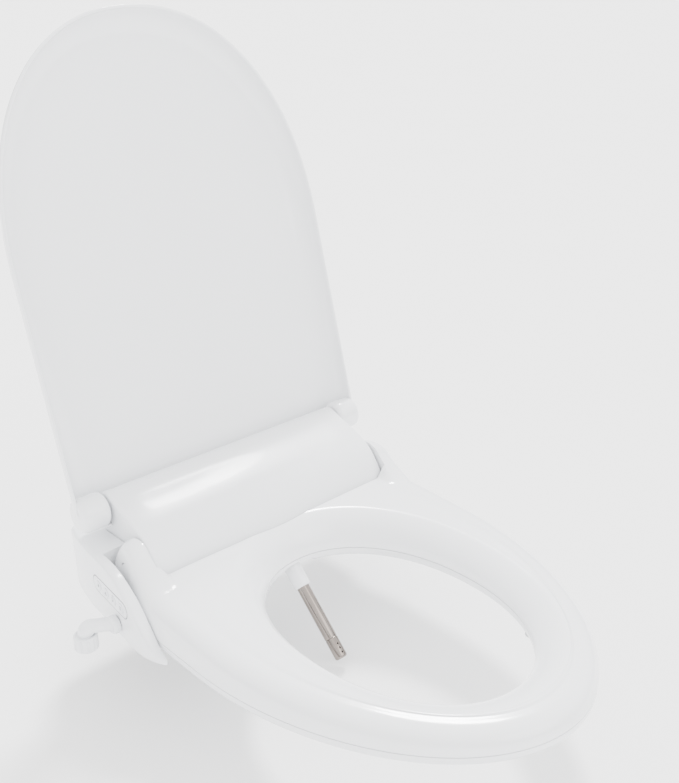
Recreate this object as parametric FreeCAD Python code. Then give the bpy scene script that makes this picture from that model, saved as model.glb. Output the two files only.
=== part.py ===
import FreeCAD, Part
import math
import os

from FreeCAD import Vector

# Electric bidet seat. Millimetres, +Z up. The origin lies midway between the two bowl
# bolts on the bowl's rim plane (z = 0). The user sits facing -Y, the lid and seat hinges
# run along X, and the control arm and water inlet are on the -X side.

# --- seat -------------------------------------------------------------------------
SEAT_HALF_WIDTH = 186.0
SEAT_CENTRE_Y = -195.0        # y of the seat's widest line
SEAT_FRONT = 283.0            # from the widest line to the front tip
SEAT_REAR = 165.0             # from the widest line to the back of the ears
SEAT_FRONT_POWER = 1.95       # superellipse exponents of the outline
SEAT_REAR_POWER = 6.0
SEAT_BOTTOM = 10.0
SEAT_PARTING = 20.0           # upper and lower shell meet here
SEAT_RISE = 0.046             # the top surface climbs this much per mm towards the hinge
SEAT_WALL = 3.0
SEAT_BACK_Y = -36.0           # rear end of the two ears
OPENING_HALF_WIDTH = 106.0
OPENING_CENTRE_Y = -262.0
OPENING_FRONT = 152.0
OPENING_REAR = 150.0
OPENING_POWER = 2.1

# outer skin of the upper shell, from parting line to crest: height, inset, share of rise
SEAT_SKIN = [(20.0, 0.0, 0.0), (26.0, 0.6, 0.3), (31.0, 2.6, 0.6), (34.6, 6.5, 0.8), (37.0, 12.5, 0.95),
             (38.5, 24.0, 1.0)]
# the same towards the opening: height, setback from the opening's edge, share of rise
OPENING_SKIN = [(20.0, 0.0, 0.0), (24.0, 0.8, 0.25), (28.0, 3.6, 0.5), (32.0, 10.0, 0.8), (35.0, 19.0, 0.95),
                (39.0, 31.0, 1.0)]

# --- hinges -----------------------------------------------------------------------
LID_AXIS = (3.0, 101.0)       # (y, z) of the lid's hinge line
SEAT_AXIS = (-60.0, 66.0)     # (y, z) of the seat's hinge line
LID_OPEN_ANGLE = 104.6        # of the rim plane above the forward horizontal
LID_PIN_RADIUS = 4.0
SEAT_PIN_RADIUS = 5.0
PIN_CLEARANCE = 0.05
EAR_RADIUS = 24.0
EAR_INNER_X = 157.0
EAR_OUTER_X = 177.5

# --- lid, in its own closed frame: rim plane z = 0, front towards -Y ----------------
LID_HALF_WIDTH = 188.5
LID_WIDEST_Y = -234.0
LID_FRONT = 246.0
LID_POWER = 2.18
LID_BACK_Y = 26.0
LID_CORNER = 26.0
LID_BACK_STEEPNESS = 0.45     # the back wall leans in less than the sides
LID_WALL = 3.0
LID_AXIS_LOCAL = (5.8, 5.6)   # the hinge line in the lid's frame
LID_SKIN = [(0.0, 0.0), (7.0, 0.8), (13.0, 3.2), (18.0, 7.5), (22.0, 13.5), (24.6, 21.0), (26.0, 32.0)]
KNUCKLE_RADIUS = 17.0
KNUCKLE_INNER_X = 156.5
KNUCKLE_OUTER_X = 182.0

# --- housing ----------------------------------------------------------------------
HOUSING_HALF_WIDTH = 154.0
HOUSING_WALL = 2.5
BOLSTER_RADIUS = 15.5         # roll of the cover round the lid's hinge line
BOLSTER_SLOPE = 21.0          # degrees, of the long face towards the seat
REAR_DECK_Z = 71.0
HOUSING_BACK_Y = 42.0
SHOULDER_Z = 72.0             # top of the arm and of the right end cap
SHOULDER_FRONT_Y = -32.0
TRAY_Z = 6.0

# --- side arm ---------------------------------------------------------------------
ARM_WALL = 2.0
ARM_BOTTOM = 3.0
PAD_CENTRE = Vector(-194.5, -60.0, 41.0)
PAD_ANGLE = math.atan2(8.0, 80.0)     # the outer wall flares this much towards the front
PAD_LENGTH = 75.0
PAD_HEIGHT = 17.0
BUTTON_RADIUS = 5.2
BUTTON_PITCH = 16.5
BUTTON_NAMES = ["button_stop", "button_rear_wash", "button_front_wash", "button_dryer"]

# --- nozzle -----------------------------------------------------------------------
NOZZLE_MOUTH = Vector(0.0, -98.0, 13.0)
NOZZLE_TILT = 45.0            # degrees below horizontal
NOZZLE_RADIUS = 7.0
NOZZLE_REACH = 120.0          # tip, measured from the mouth, when extended
NOZZLE_LENGTH = 160.0
NOZZLE_TRAVEL = 85.0
SCREW_X = 17.0
SCREW_DROP = 10.0             # lead screw axis below the nozzle axis
SCREW_RADIUS = 2.5

# --- mounting plate ---------------------------------------------------------------
PLATE_HALF_X = 100.0
PLATE_FRONT_Y = -50.0
PLATE_BACK_Y = 34.0
PLATE_THICK = 5.0
LIP_START_Z = 2.5
LIP_WIDTH = 6.0
SLOT_SPACING = 140.0
SLOT_WIDTH = 8.0
SLOT_LENGTH = 24.0
SLIDE_GAP = 0.4

X_AXIS = Vector(1, 0, 0)
Z_AXIS = Vector(0, 0, 1)


def block(x, y, z):
    """Box from three (low, high) pairs."""
    return Part.makeBox(x[1] - x[0], y[1] - y[0], z[1] - z[0], Vector(x[0], y[0], z[0]))


def rounded_block(x, y, z, radius):
    """Box with its four vertical edges rounded."""
    body = block(x, y, z)
    edges = [e for e in body.Edges if abs(e.tangentAt(e.FirstParameter).z) > 0.99]
    return body.makeFillet(radius, edges)


def rod(start, end, radius):
    """Cylinder between two points."""
    return Part.makeCylinder(radius, start.distanceToPoint(end), start, end - start)


def tube(start, end, outer, inner):
    return rod(start, end, outer).cut(rod(start, end, inner))


def join(first, *others):
    shape = first.fuse(list(others)) if others else first
    return shape.removeSplitter()


def prism_x(points, low, high):
    """Extrude a polygon of (y, z) points along X."""
    loop = [Vector(low, y, z) for y, z in points]
    face = Part.Face(Part.makePolygon(loop + loop[:1]))
    return face.extrude(Vector(high - low, 0, 0))


def mirrored(shape):
    """The same piece on the other side of the YZ plane."""
    return shape.mirror(Vector(0, 0, 0), X_AXIS)


def both_sides(shape):
    return Part.makeCompound([shape, mirrored(shape)])


def rolled(points, radius):
    """Pipe along straight runs joined by tangent arcs of one radius."""
    edges = []
    start = points[0]
    for before, corner, after in zip(points, points[1:], points[2:]):
        back = (before - corner).normalize()
        ahead = (after - corner).normalize()
        half = back.getAngle(ahead) / 2.0
        bend = 2.2 * radius
        reach = bend / math.tan(half)
        into = corner + back * reach
        out = corner + ahead * reach
        middle = (back + ahead).normalize()
        centre = corner + middle * (bend / math.sin(half))
        edges.append(Part.LineSegment(start, into).toShape())
        edges.append(Part.Arc(into, centre - middle * bend, out).toShape())
        start = out
    edges.append(Part.LineSegment(start, points[-1]).toShape())
    path = Part.Wire(edges)
    section = Part.Wire(Part.makeCircle(radius, points[0], points[1] - points[0]))
    return path.makePipeShell([section], True, False)


# --- seat outline -------------------------------------------------------------------

def oval(half_width, centre_y, front, rear, front_power, rear_power, inset, height, rise):
    """Closed curve in polar steps round (0, centre_y); inset shrinks it along its normal."""
    steps = 72
    raw = []
    for i in range(steps):
        angle = 2 * math.pi * i / steps
        c = math.cos(angle)
        s = math.sin(angle)
        depth, power = (front, front_power) if s < 0 else (rear, rear_power)
        r = (abs(c / half_width) ** power + abs(s / depth) ** power) ** (-1 / power)
        raw.append((r * c, centre_y + r * s))
    points = []
    for i in range(steps):
        dx = raw[(i + 1) % steps][0] - raw[i - 1][0]
        dy = raw[(i + 1) % steps][1] - raw[i - 1][1]
        length = math.hypot(dx, dy)
        x = raw[i][0] - inset * dy / length
        y = raw[i][1] + inset * dx / length
        z = height + rise * SEAT_RISE * (y - SEAT_CENTRE_Y + SEAT_FRONT)
        points.append(Vector(x, y, z))
    curve = Part.BSplineCurve()
    curve.interpolate(Points=points, PeriodicFlag=True)
    return Part.Wire(curve.toShape())


def seat_outline(inset, height, rise):
    return oval(SEAT_HALF_WIDTH, SEAT_CENTRE_Y, SEAT_FRONT, SEAT_REAR,
                SEAT_FRONT_POWER, SEAT_REAR_POWER, inset, height, rise)


def opening_outline(setback, height, rise):
    return oval(OPENING_HALF_WIDTH, OPENING_CENTRE_Y, OPENING_FRONT, OPENING_REAR,
                OPENING_POWER, OPENING_POWER, -setback, height, rise)


def seat_ring(skin, opening, wall, under):
    """Ring between two stacks of outlines; wall shrinks it all round to make a cavity."""
    body = Part.makeLoft([seat_outline(i + wall, z, r) for z, i, r in skin], True, True)
    hole = Part.makeLoft([opening_outline(s + wall, z, r) for z, s, r in opening], True, True)
    body = body.cut(hole)
    housing_space = block((-156.2 - wall, 156.2 + wall), (-89.2 - wall, 60), (-20, 90))
    behind_ears = block((-200, 200), (SEAT_BACK_Y - wall, 60), (-20, 90))
    under_deck = prism_x([(-140, under - 25), (-80, under + 35), (-80, -30), (-140, -30)],
                         -24 - wall, 24 + wall)
    return body.cut([housing_space, behind_ears, under_deck])


def lowered(levels, drop, first):
    """Cavity levels: the same stack set down by the wall, starting lower."""
    inner = [(z - drop, i, r) for z, i, r in levels[1:]]
    return [(first, levels[0][1], 0.0)] + inner


def seat_ear():
    """Rounded ear that wraps the end of the housing and carries the hinge pin."""
    y, z = SEAT_AXIS
    disc = Part.makeCylinder(EAR_RADIUS, EAR_OUTER_X - EAR_INNER_X, Vector(EAR_INNER_X, y, z), X_AXIS)
    disc = disc.makeFillet(4.0, [e for e in disc.Edges if e.CenterOfMass.x > EAR_OUTER_X - 0.1])
    web = prism_x([(y - 17, z + 16.9), (y - 38, z - 5), (y - 60, z - 16), (y - 60, z - 40),
                   (y + 20, z - 40), (y + 23, z)], EAR_INNER_X, EAR_OUTER_X - 3.5)
    bore = rod(Vector(EAR_INNER_X - 1, y, z), Vector(EAR_OUTER_X - 2.5, y, z), SEAT_PIN_RADIUS)
    return join(disc, web), bore


def seat_upper_shell():
    solid = seat_ring(SEAT_SKIN, OPENING_SKIN, 0.0, 13.0)
    cavity = seat_ring(lowered(SEAT_SKIN, SEAT_WALL, SEAT_PARTING - 4),
                       lowered(OPENING_SKIN, SEAT_WALL, SEAT_PARTING - 4), SEAT_WALL, 13.0)
    ear, bore = seat_ear()
    shell = solid.cut(cavity).fuse([ear, mirrored(ear)])
    below_parting = block((-220, 220), (-500, 80), (-20, SEAT_PARTING))
    return shell.cut([bore, mirrored(bore), below_parting])


def seat_lower_shell():
    skin = [(SEAT_BOTTOM, 4.0, 0.0), (SEAT_BOTTOM + 2.5, 1.0, 0.0), (SEAT_PARTING - 0.3, 0.0, 0.0)]
    hole = [(SEAT_BOTTOM, 3.0, 0.0), (SEAT_BOTTOM + 2.5, 0.5, 0.0), (SEAT_PARTING - 0.3, 0.0, 0.0)]
    solid = seat_ring(skin, hole, 0.0, 13.0)
    floor = SEAT_BOTTOM + SEAT_WALL
    level = [(floor, 1.0, 0.0), (SEAT_PARTING + 1, 0.5, 0.0)]
    return solid.cut(seat_ring(level, level, SEAT_WALL, 13.0))


def seat_heater():
    """Heating mat bonded under the sitting surface, a flat ring inside the upper shell."""
    level = [(26.0, 20.0, 0.8), (27.0, 20.0, 0.8)]
    hole = [(25.0, 20.0, 0.8), (28.0, 20.0, 0.8)]
    body = Part.makeLoft([seat_outline(i, z, r) for z, i, r in level], True, True)
    body = body.cut(Part.makeLoft([opening_outline(s, z, r) for z, s, r in hole], True, True))
    return body.cut(block((-200, 200), (-150, 60), (-20, 90)))


def seat_bumpers():
    """Four rubber buffers that stand on the bowl's rim."""
    places = [(-100, -366), (100, -366), (-148, -170), (148, -170)]
    pads = [rounded_block((x - 7.5, x + 7.5), (y - 16, y + 16), (0.0, SEAT_BOTTOM), 7.0) for x, y in places]
    return Part.makeCompound(pads)


def hinge_pins(axis, radius, outer):
    y, z = axis
    return both_sides(rod(Vector(139.5, y, z), Vector(outer, y, z), radius))


# --- lid ------------------------------------------------------------------------------

def lid_outline(inset, height, wall=0.0):
    """Half superellipse in front, straight sides and a steeper, round-cornered back."""
    half = LID_HALF_WIDTH - inset - wall
    depth = LID_FRONT - inset - wall
    front = []
    steps = 24
    for i in range(steps + 1):
        angle = math.pi + math.pi * i / steps
        c = math.cos(angle)
        s = math.sin(angle)
        r = (abs(c / half) ** LID_POWER + abs(s / depth) ** LID_POWER) ** (-1 / LID_POWER)
        front.append(Vector(r * c, LID_WIDEST_Y + r * s, height))
    curve = Part.BSplineCurve()
    curve.interpolate(Points=front, InitialTangent=Vector(0, -1, 0), FinalTangent=Vector(0, 1, 0))
    back = LID_BACK_Y - LID_BACK_STEEPNESS * inset - wall
    radius = max(LID_CORNER - inset, 2.0)
    bulge = radius * math.sqrt(0.5)
    edges = [curve.toShape()]
    corner = Vector(half, back - radius, height)
    edges.append(Part.LineSegment(front[-1], corner).toShape())
    middle = Vector(half - radius + bulge, back - radius + bulge, height)
    end = Vector(half - radius, back, height)
    edges.append(Part.Arc(corner, middle, end).toShape())
    other = Vector(-end.x, end.y, height)
    edges.append(Part.LineSegment(end, other).toShape())
    last = Vector(-half, corner.y, height)
    edges.append(Part.Arc(other, Vector(-middle.x, middle.y, height), last).toShape())
    edges.append(Part.LineSegment(last, front[0]).toShape())
    return Part.Wire(edges)


def opened(shape):
    """Turn a piece from the lid's closed frame into its open place on the housing."""
    ay, az = LID_AXIS_LOCAL
    moved = shape.copy()
    moved.rotate(Vector(0, ay, az), X_AXIS, -LID_OPEN_ANGLE)
    moved.translate(Vector(0, LID_AXIS[0] - ay, LID_AXIS[1] - az))
    return moved


def lid_shell():
    """Dished lid: open over the housing, rolled round its hinge line, a knuckle each side."""
    ay, az = LID_AXIS_LOCAL
    outer = Part.makeLoft([lid_outline(i, z) for z, i in LID_SKIN], True, True)
    inner_levels = [(-1.0, 0.0)] + [(z - LID_WALL, i) for z, i in LID_SKIN[1:]]
    inner = Part.makeLoft([lid_outline(i, z, LID_WALL) for z, i in inner_levels], True, True)
    dish = outer.cut(inner).cut(block((-155.5, 155.5), (ay, 60), (-5, 40)))
    top = LID_SKIN[-1][0]
    roll = Part.makeCylinder(top - az, 311, Vector(-155.5, ay, az), X_AXIS, 360)
    roll = roll.cut(Part.makeCylinder(top - az - LID_WALL, 313, Vector(-156.5, ay, az), X_AXIS, 360))
    sector = prism_x([(ay, az), (ay, az + 40), (ay + 40, az + 40)], -155.5, 155.5)
    knuckle = Part.makeCylinder(KNUCKLE_RADIUS, KNUCKLE_OUTER_X - KNUCKLE_INNER_X,
                                Vector(KNUCKLE_INNER_X, ay, az), X_AXIS)
    web = block((KNUCKLE_INNER_X, KNUCKLE_OUTER_X), (ay - KNUCKLE_RADIUS, ay + KNUCKLE_RADIUS), (az, top - 1.5))
    bore = rod(Vector(KNUCKLE_INNER_X - 1, ay, az), Vector(KNUCKLE_OUTER_X - 3, ay, az), LID_PIN_RADIUS)
    lobe = join(knuckle, web)
    shell = dish.fuse([roll.common(sector), lobe, mirrored(lobe)])
    return opened(shell.cut([bore, mirrored(bore)]))


# --- housing --------------------------------------------------------------------------

def bolster_wire(inset, x):
    """Section of the top cover in a YZ plane, closed along the bottom."""
    ay, az = LID_AXIS
    radius = BOLSTER_RADIUS - inset
    tilt = math.radians(BOLSTER_SLOPE)
    crest = Vector(x, ay - radius * math.sin(tilt), az + radius * math.cos(tilt))
    turn = Vector(x, ay + radius, az)
    neck_angle = math.radians(-60)
    neck = Vector(x, ay + radius * math.cos(neck_angle), az + radius * math.sin(neck_angle))
    front = [(-52, 96), (-66, 87.5), (-78, 74), (-87, 58), (-88.5, 47), (-86, 36), (-84, 30)]
    points = [crest]
    for i, (y, z) in enumerate(front):
        before = front[i - 1] if i else (crest.y, crest.z)
        after = front[min(i + 1, len(front) - 1)]
        dy = after[0] - before[0]
        dz = after[1] - before[1]
        length = math.hypot(dy, dz)
        points.append(Vector(x, y - inset * dz / length, z + inset * dy / length))
    face = Part.BSplineCurve()
    face.interpolate(Points=points, InitialTangent=Vector(0, -math.cos(tilt), -math.sin(tilt)),
                     FinalTangent=Vector(0, 0.3, -1))
    deck = REAR_DECK_Z - inset
    back = HOUSING_BACK_Y - inset
    bottom = TRAY_Z if inset == 0 else TRAY_Z - 2
    edges = [Part.Arc(neck, turn, crest).toShape(), face.toShape()]
    corners = [points[-1], Vector(x, points[-1].y, bottom), Vector(x, back, bottom),
               Vector(x, back, deck), Vector(x, neck.y, deck), neck]
    for start, end in zip(corners, corners[1:]):
        edges.append(Part.LineSegment(start, end).toShape())
    return Part.Wire(edges)


def nozzle_window():
    """Way out for the nozzle and its guard through the housing's front wall."""
    return block((-12, SCREW_X + 7.5), (-95, -70), (TRAY_Z - 1, 46))


def bolster_cover():
    end = HOUSING_HALF_WIDTH
    outer = Part.Face(bolster_wire(0.0, -end)).extrude(Vector(2 * end, 0, 0))
    inner_end = end - HOUSING_WALL
    inner = Part.Face(bolster_wire(HOUSING_WALL, -inner_end)).extrude(Vector(2 * inner_end, 0, 0))
    lid_hole = rod(Vector(-170, *LID_AXIS), Vector(170, *LID_AXIS), LID_PIN_RADIUS + 0.5)
    seat_hole = rod(Vector(-170, *SEAT_AXIS), Vector(170, *SEAT_AXIS), SEAT_PIN_RADIUS + 0.5)
    pipe_hole = rod(Vector(-170, -14, 20), Vector(-140, -14, 20), 4.5)
    cord_hole = rod(Vector(118, 30, 24), Vector(118, 50, 24), 7.0)
    duct_hole = block((56, 94), (-95, -70), (TRAY_Z - 1, 30))
    cover = outer.cut(inner)
    return cover.cut([lid_hole, seat_hole, nozzle_window(), pipe_hole, cord_hole, duct_hole])


def base_tray():
    """Floor of the housing, with a T-shaped channel that slides on the mounting plate."""
    wall = HOUSING_WALL + 0.2
    floor = block((-HOUSING_HALF_WIDTH + wall, HOUSING_HALF_WIDTH - wall),
                  (-80.5, HOUSING_BACK_Y - wall), (TRAY_Z, TRAY_Z + 3))
    rail_outer = PLATE_HALF_X + SLIDE_GAP + 5
    rail = block((PLATE_HALF_X - LIP_WIDTH + SLIDE_GAP, rail_outer), (PLATE_FRONT_Y, PLATE_BACK_Y), (0.6, TRAY_Z))
    groove = block((0, PLATE_HALF_X + SLIDE_GAP), (-90, 90), (LIP_START_Z - SLIDE_GAP, TRAY_Z - 0.3))
    rail = rail.cut(groove)
    posts = [block((x - 6, x + 6), (y - 4, y + 4), (TRAY_Z + 3, TRAY_Z + 8))
             for x, y in ((-130, 30), (130, 30), (-130, -70), (130, -70))]
    tray = join(floor, rail, mirrored(rail), *posts)
    return tray.cut(nozzle_window())


def mounting_plate():
    """Plate bolted to the bowl; each slot is counterbored for the bolt's head."""
    wide = block((-PLATE_HALF_X, PLATE_HALF_X), (PLATE_FRONT_Y, PLATE_BACK_Y), (LIP_START_Z, PLATE_THICK))
    narrow = PLATE_HALF_X - LIP_WIDTH
    foot = block((-narrow, narrow), (PLATE_FRONT_Y, PLATE_BACK_Y), (0, LIP_START_Z))
    plate = join(wide, foot)
    cuts = []
    for side in (-1, 1):
        x = side * SLOT_SPACING / 2
        cuts.append(slot(x, 0, SLOT_LENGTH, SLOT_WIDTH, -1, 6))
        cuts.append(slot(x, 0, SLOT_LENGTH + 9, SLOT_WIDTH + 9, 3.0, 6))
    return plate.cut(cuts)


def slot(x, y, length, width, low, high):
    """Upright slot running along X."""
    reach = (length - width) / 2
    ends = [Part.makeCylinder(width / 2, high - low, Vector(x + s * reach, y, low)) for s in (-1, 1)]
    return join(block((x - reach, x + reach), (y - width / 2, y + width / 2), (low, high)), *ends)


def right_end_cap():
    """Closes the housing's right end beside the lid knuckle and holds the release button."""
    low = HOUSING_HALF_WIDTH + 0.2
    outer = rounded_block((low, 180), (SHOULDER_FRONT_Y, 41), (ARM_BOTTOM, SHOULDER_Z), 6.0)
    inner = block((low - 1, 177.5), (SHOULDER_FRONT_Y + 2.5, 38.5), (ARM_BOTTOM - 1, SHOULDER_Z - 2.5))
    window = block((170, 190), (-6.5, 16.5), (23.5, 36.5))
    return outer.cut([inner, window])


def release_button():
    """Side button that frees the housing from the mounting plate."""
    cap = block((176.5, 181.5), (-6, 16), (24, 36))
    flange = block((173.0, 176.5), (-9, 19), (21, 39))
    stem = block((160, 173.0), (-2, 12), (27, 33))
    return join(cap, flange, stem)


def housing_screws():
    """Four screws that hold the tray to the cover from below."""
    places = [(-130, 30), (130, 30), (-130, -70), (130, -70)]
    screws = []
    for x, y in places:
        head = rod(Vector(x, y, TRAY_Z - 2.2), Vector(x, y, TRAY_Z), 3.6)
        screws.append(head)
    return Part.makeCompound(screws)


# --- side arm -------------------------------------------------------------------------

def arm_plan(inset, height):
    """Plan of the arm: beside the housing behind, a narrow blade along the seat in front."""
    pad_front = Vector(-198.5 + inset, -100, height)
    pad_rear = Vector(-190.5 + inset, -20, height)
    tip = Vector(-190.5 + inset * 0.3, -147 + inset * 1.6, height)
    nose = Part.BSplineCurve()
    nose.interpolate(Points=[pad_front, Vector(-197.2 + inset, -130, height), tip],
                     InitialTangent=Vector(-0.1, -1, 0))
    rear = Part.BSplineCurve()
    corner = Vector(-178 + inset, 41 - inset, height)
    rear.interpolate(Points=[corner, pad_rear], FinalTangent=Vector(-0.1, -1, 0))
    loop = [tip, Vector(-187.4 - inset * 0.6, -143 + inset * 1.6, height), Vector(-184.9 - inset, -80, height),
            Vector(-181.2 - inset, SHOULDER_FRONT_Y + inset, height),
            Vector(-HOUSING_HALF_WIDTH - 0.2 - inset, SHOULDER_FRONT_Y + inset, height),
            Vector(-HOUSING_HALF_WIDTH - 0.2 - inset, 41 - inset, height), corner]
    edges = [rear.toShape(), Part.LineSegment(pad_rear, pad_front).toShape(), nose.toShape()]
    for start, end in zip(loop, loop[1:]):
        edges.append(Part.LineSegment(start, end).toShape())
    return Part.Face(Part.Wire(edges))


def arm_envelope(inset):
    """Side view of the arm: level behind, then sloping down to a low tip."""
    top = SHOULDER_Z - inset
    slope = Part.BSplineCurve()
    points = [(-46, top), (-75, top - 5), (-97, top - 18), (-118, top - 38), (-138, top - 59), (-152, top - 64)]
    slope.interpolate(Points=[Vector(-220, y, z) for y, z in points], InitialTangent=Vector(0, -1, 0))
    loop = [(-152, top - 64), (-152, -5), (50, -5), (50, top), (-46, top)]
    edges = [slope.toShape()]
    for (y0, z0), (y1, z1) in zip(loop, loop[1:]):
        edges.append(Part.LineSegment(Vector(-220, y0, z0), Vector(-220, y1, z1)).toShape())
    return Part.Face(Part.Wire(edges)).extrude(Vector(80, 0, 0))


def pad_place(along, up, out):
    """Point on the control pad: along it to the front, up it, and out of the arm."""
    c = math.cos(PAD_ANGLE)
    s = math.sin(PAD_ANGLE)
    return PAD_CENTRE + Vector(-s * along - c * out, -c * along + s * out, up)


def pad_capsule(length, height, inner, outer):
    """Stadium on the pad plane between two depths."""
    reach = (length - height) / 2
    ends = [rod(pad_place(side * reach, 0, inner), pad_place(side * reach, 0, outer), height / 2)
            for side in (-1, 1)]
    corners = [pad_place(a, u, inner) for a, u in ((-reach, -height / 2), (reach, -height / 2),
                                                    (reach, height / 2), (-reach, height / 2))]
    middle = Part.Face(Part.makePolygon(corners + corners[:1]))
    middle = middle.extrude(pad_place(0, 0, outer) - pad_place(0, 0, inner))
    return join(middle, *ends)


def button_offsets():
    return [(i - 1.5) * BUTTON_PITCH for i in range(4)]


def arm_casing():
    outer = arm_plan(0.0, ARM_BOTTOM).extrude(Vector(0, 0, 90)).common(arm_envelope(0.0))
    inner = arm_plan(ARM_WALL, ARM_BOTTOM - 1).extrude(Vector(0, 0, 90)).common(arm_envelope(ARM_WALL))
    casing = outer.cut(inner)
    pad_hole = pad_capsule(PAD_LENGTH + 0.8, PAD_HEIGHT + 0.8, -4, 4)
    inlet_hole = rod(Vector(-187, -72, 17), Vector(-210, -72, 17), 6.0)
    pipe_hole = rod(Vector(-170, -14, 20), Vector(-150, -14, 20), 4.5)
    return casing.cut([pad_hole, inlet_hole, pipe_hole])


def arm_base():
    """Bottom plate that closes the arm."""
    return arm_plan(ARM_WALL + 0.2, ARM_BOTTOM).extrude(Vector(0, 0, 2.0)).common(arm_envelope(ARM_WALL + 0.2))


def pad_bezel():
    bezel = pad_capsule(PAD_LENGTH, PAD_HEIGHT, -2.4, 0.2)
    holes = [rod(pad_place(a, 0, -3), pad_place(a, 0, 1), BUTTON_RADIUS + 0.35) for a in button_offsets()]
    return bezel.cut(holes)


def button(along):
    """Cap with a wider flange behind the bezel."""
    cap = rod(pad_place(along, 0, -2.6), pad_place(along, 0, 0.8), BUTTON_RADIUS)
    cap = cap.makeFillet(0.4, [e for e in cap.Edges if e.CenterOfMass.x < pad_place(along, 0, 0.5).x])
    flange = rod(pad_place(along, 0, -3.6), pad_place(along, 0, -2.6), BUTTON_RADIUS + 1.6)
    return join(cap, flange)


def pad_circuit_board():
    board = pad_capsule(PAD_LENGTH - 3, PAD_HEIGHT - 2, -6.2, -5.0)
    return board


# --- water inlet ------------------------------------------------------------------------

INLET = Vector(-197.0, -72.0, 17.0)
ELBOW_YAW = math.radians(32)          # the elbow points out and a little to the rear
ELBOW_REACH = 31.0


def elbow_end():
    return INLET + Vector(-math.cos(ELBOW_YAW), math.sin(ELBOW_YAW), 0) * ELBOW_REACH


def inlet_elbow():
    """Collar on the arm, then a bend that turns down into the union thread."""
    root = INLET + Vector(8.5, 0, 0)
    end = elbow_end()
    collar = rod(INLET + Vector(0.1, 0, 0), INLET + Vector(-7, 0, 0), 9.5)
    neck = rod(root, INLET + Vector(-6, 0, 0), 5.0)
    arm = rod(INLET + Vector(-4, 0, 0), end, 7.0)
    knee = Part.makeSphere(9.0, end)
    drop = rod(end, end + Vector(0, 0, -21), 6.4)
    return join(collar, neck, arm, knee, drop)


def union_nut():
    """Fluted nut that turns on the elbow's lower end."""
    top = elbow_end() + Vector(0, 0, -8.5)
    bottom = top + Vector(0, 0, -16)
    body = rod(top, bottom, 12.0)
    flutes = []
    for i in range(10):
        angle = 2 * math.pi * i / 10
        offset = Vector(math.cos(angle), math.sin(angle), 0) * 14.0
        flutes.append(rod(top + offset + Vector(0, 0, 1), bottom + offset + Vector(0, 0, -1), 3.6))
    bore = rod(top + Vector(0, 0, 1), bottom + Vector(0, 0, 3), 6.45)
    throat = rod(top, bottom + Vector(0, 0, -1), 5.0)
    return body.cut(flutes + [bore, throat, rod(elbow_end(), elbow_end() + Vector(0, 0, -9), 9.6)])


def inlet_filter():
    """Fine strainer cup pushed into the elbow's lower end."""
    end = elbow_end() + Vector(0, 0, -21.2)
    return tube(end + Vector(0, 0, -0.2), end + Vector(0, 0, -3.2), 4.6, 3.2)


def inlet_pipe():
    """Rigid pipe from the inlet back through the arm and into the housing."""
    points = [Vector(-190.4, -66.5, 17), Vector(-186.8, -36, 17), Vector(-184.5, -14, 20), Vector(-146.2, -14, 20)]
    return rolled(points, 2.6)


# --- nozzle -----------------------------------------------------------------------------

TILT = math.radians(NOZZLE_TILT)
NOZZLE_OUT = Vector(0, -math.cos(TILT), -math.sin(TILT))
NOZZLE_UP = Vector(0, -math.sin(TILT), math.cos(TILT))


def nozzle_place(x, along, up):
    """Point in the nozzle's frame: along its axis out of the mouth, and square above it."""
    return NOZZLE_MOUTH + Vector(x, 0, 0) + NOZZLE_OUT * along + NOZZLE_UP * up


def nozzle_block(x, along, up):
    """Box in the nozzle's frame."""
    corners = [nozzle_place(x[0], a, u) for a, u in ((along[0], up[0]), (along[1], up[0]),
                                                     (along[1], up[1]), (along[0], up[1]))]
    face = Part.Face(Part.makePolygon(corners + corners[:1]))
    return face.extrude(Vector(x[1] - x[0], 0, 0))


def nozzle_rod(x, up, start, end, radius):
    return rod(nozzle_place(x, start, up), nozzle_place(x, end, up), radius)


def nozzle_tube():
    back = NOZZLE_REACH - NOZZLE_LENGTH
    outer = nozzle_rod(0, 0, back, NOZZLE_REACH - 24, NOZZLE_RADIUS)
    return outer.cut(nozzle_rod(0, 0, back - 1, NOZZLE_REACH - 23, NOZZLE_RADIUS - 1.0))


def nozzle_tip():
    """Spray head with three jets on its upper side."""
    head = nozzle_rod(0, 0, NOZZLE_REACH - 24, NOZZLE_REACH, NOZZLE_RADIUS)
    rim = [e for e in head.Edges if e.CenterOfMass.distanceToPoint(nozzle_place(0, NOZZLE_REACH, 0)) < 1]
    head = head.makeFillet(2.0, rim)
    spigot = nozzle_rod(0, 0, NOZZLE_REACH - 32, NOZZLE_REACH - 24, NOZZLE_RADIUS - 1.1)
    jets = [rod(nozzle_place(0, NOZZLE_REACH - d, 2), nozzle_place(0, NOZZLE_REACH - d, 9), 0.9) for d in (6, 11, 16)]
    return join(head, spigot).cut(jets)


def nozzle_carriage():
    """Slider clamped to the tube's inner end, driven by the lead screw."""
    back = NOZZLE_REACH - NOZZLE_LENGTH
    body = nozzle_block((-9, SCREW_X + 6), (back, back + 10), (-SCREW_DROP - 5.5, 8))
    tube_hole = nozzle_rod(0, 0, back - 1, back + 11, NOZZLE_RADIUS)
    screw_hole = nozzle_rod(SCREW_X, -SCREW_DROP, back - 1, back + 11, SCREW_RADIUS + PIN_CLEARANCE)
    return body.cut([tube_hole, screw_hole])


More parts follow.
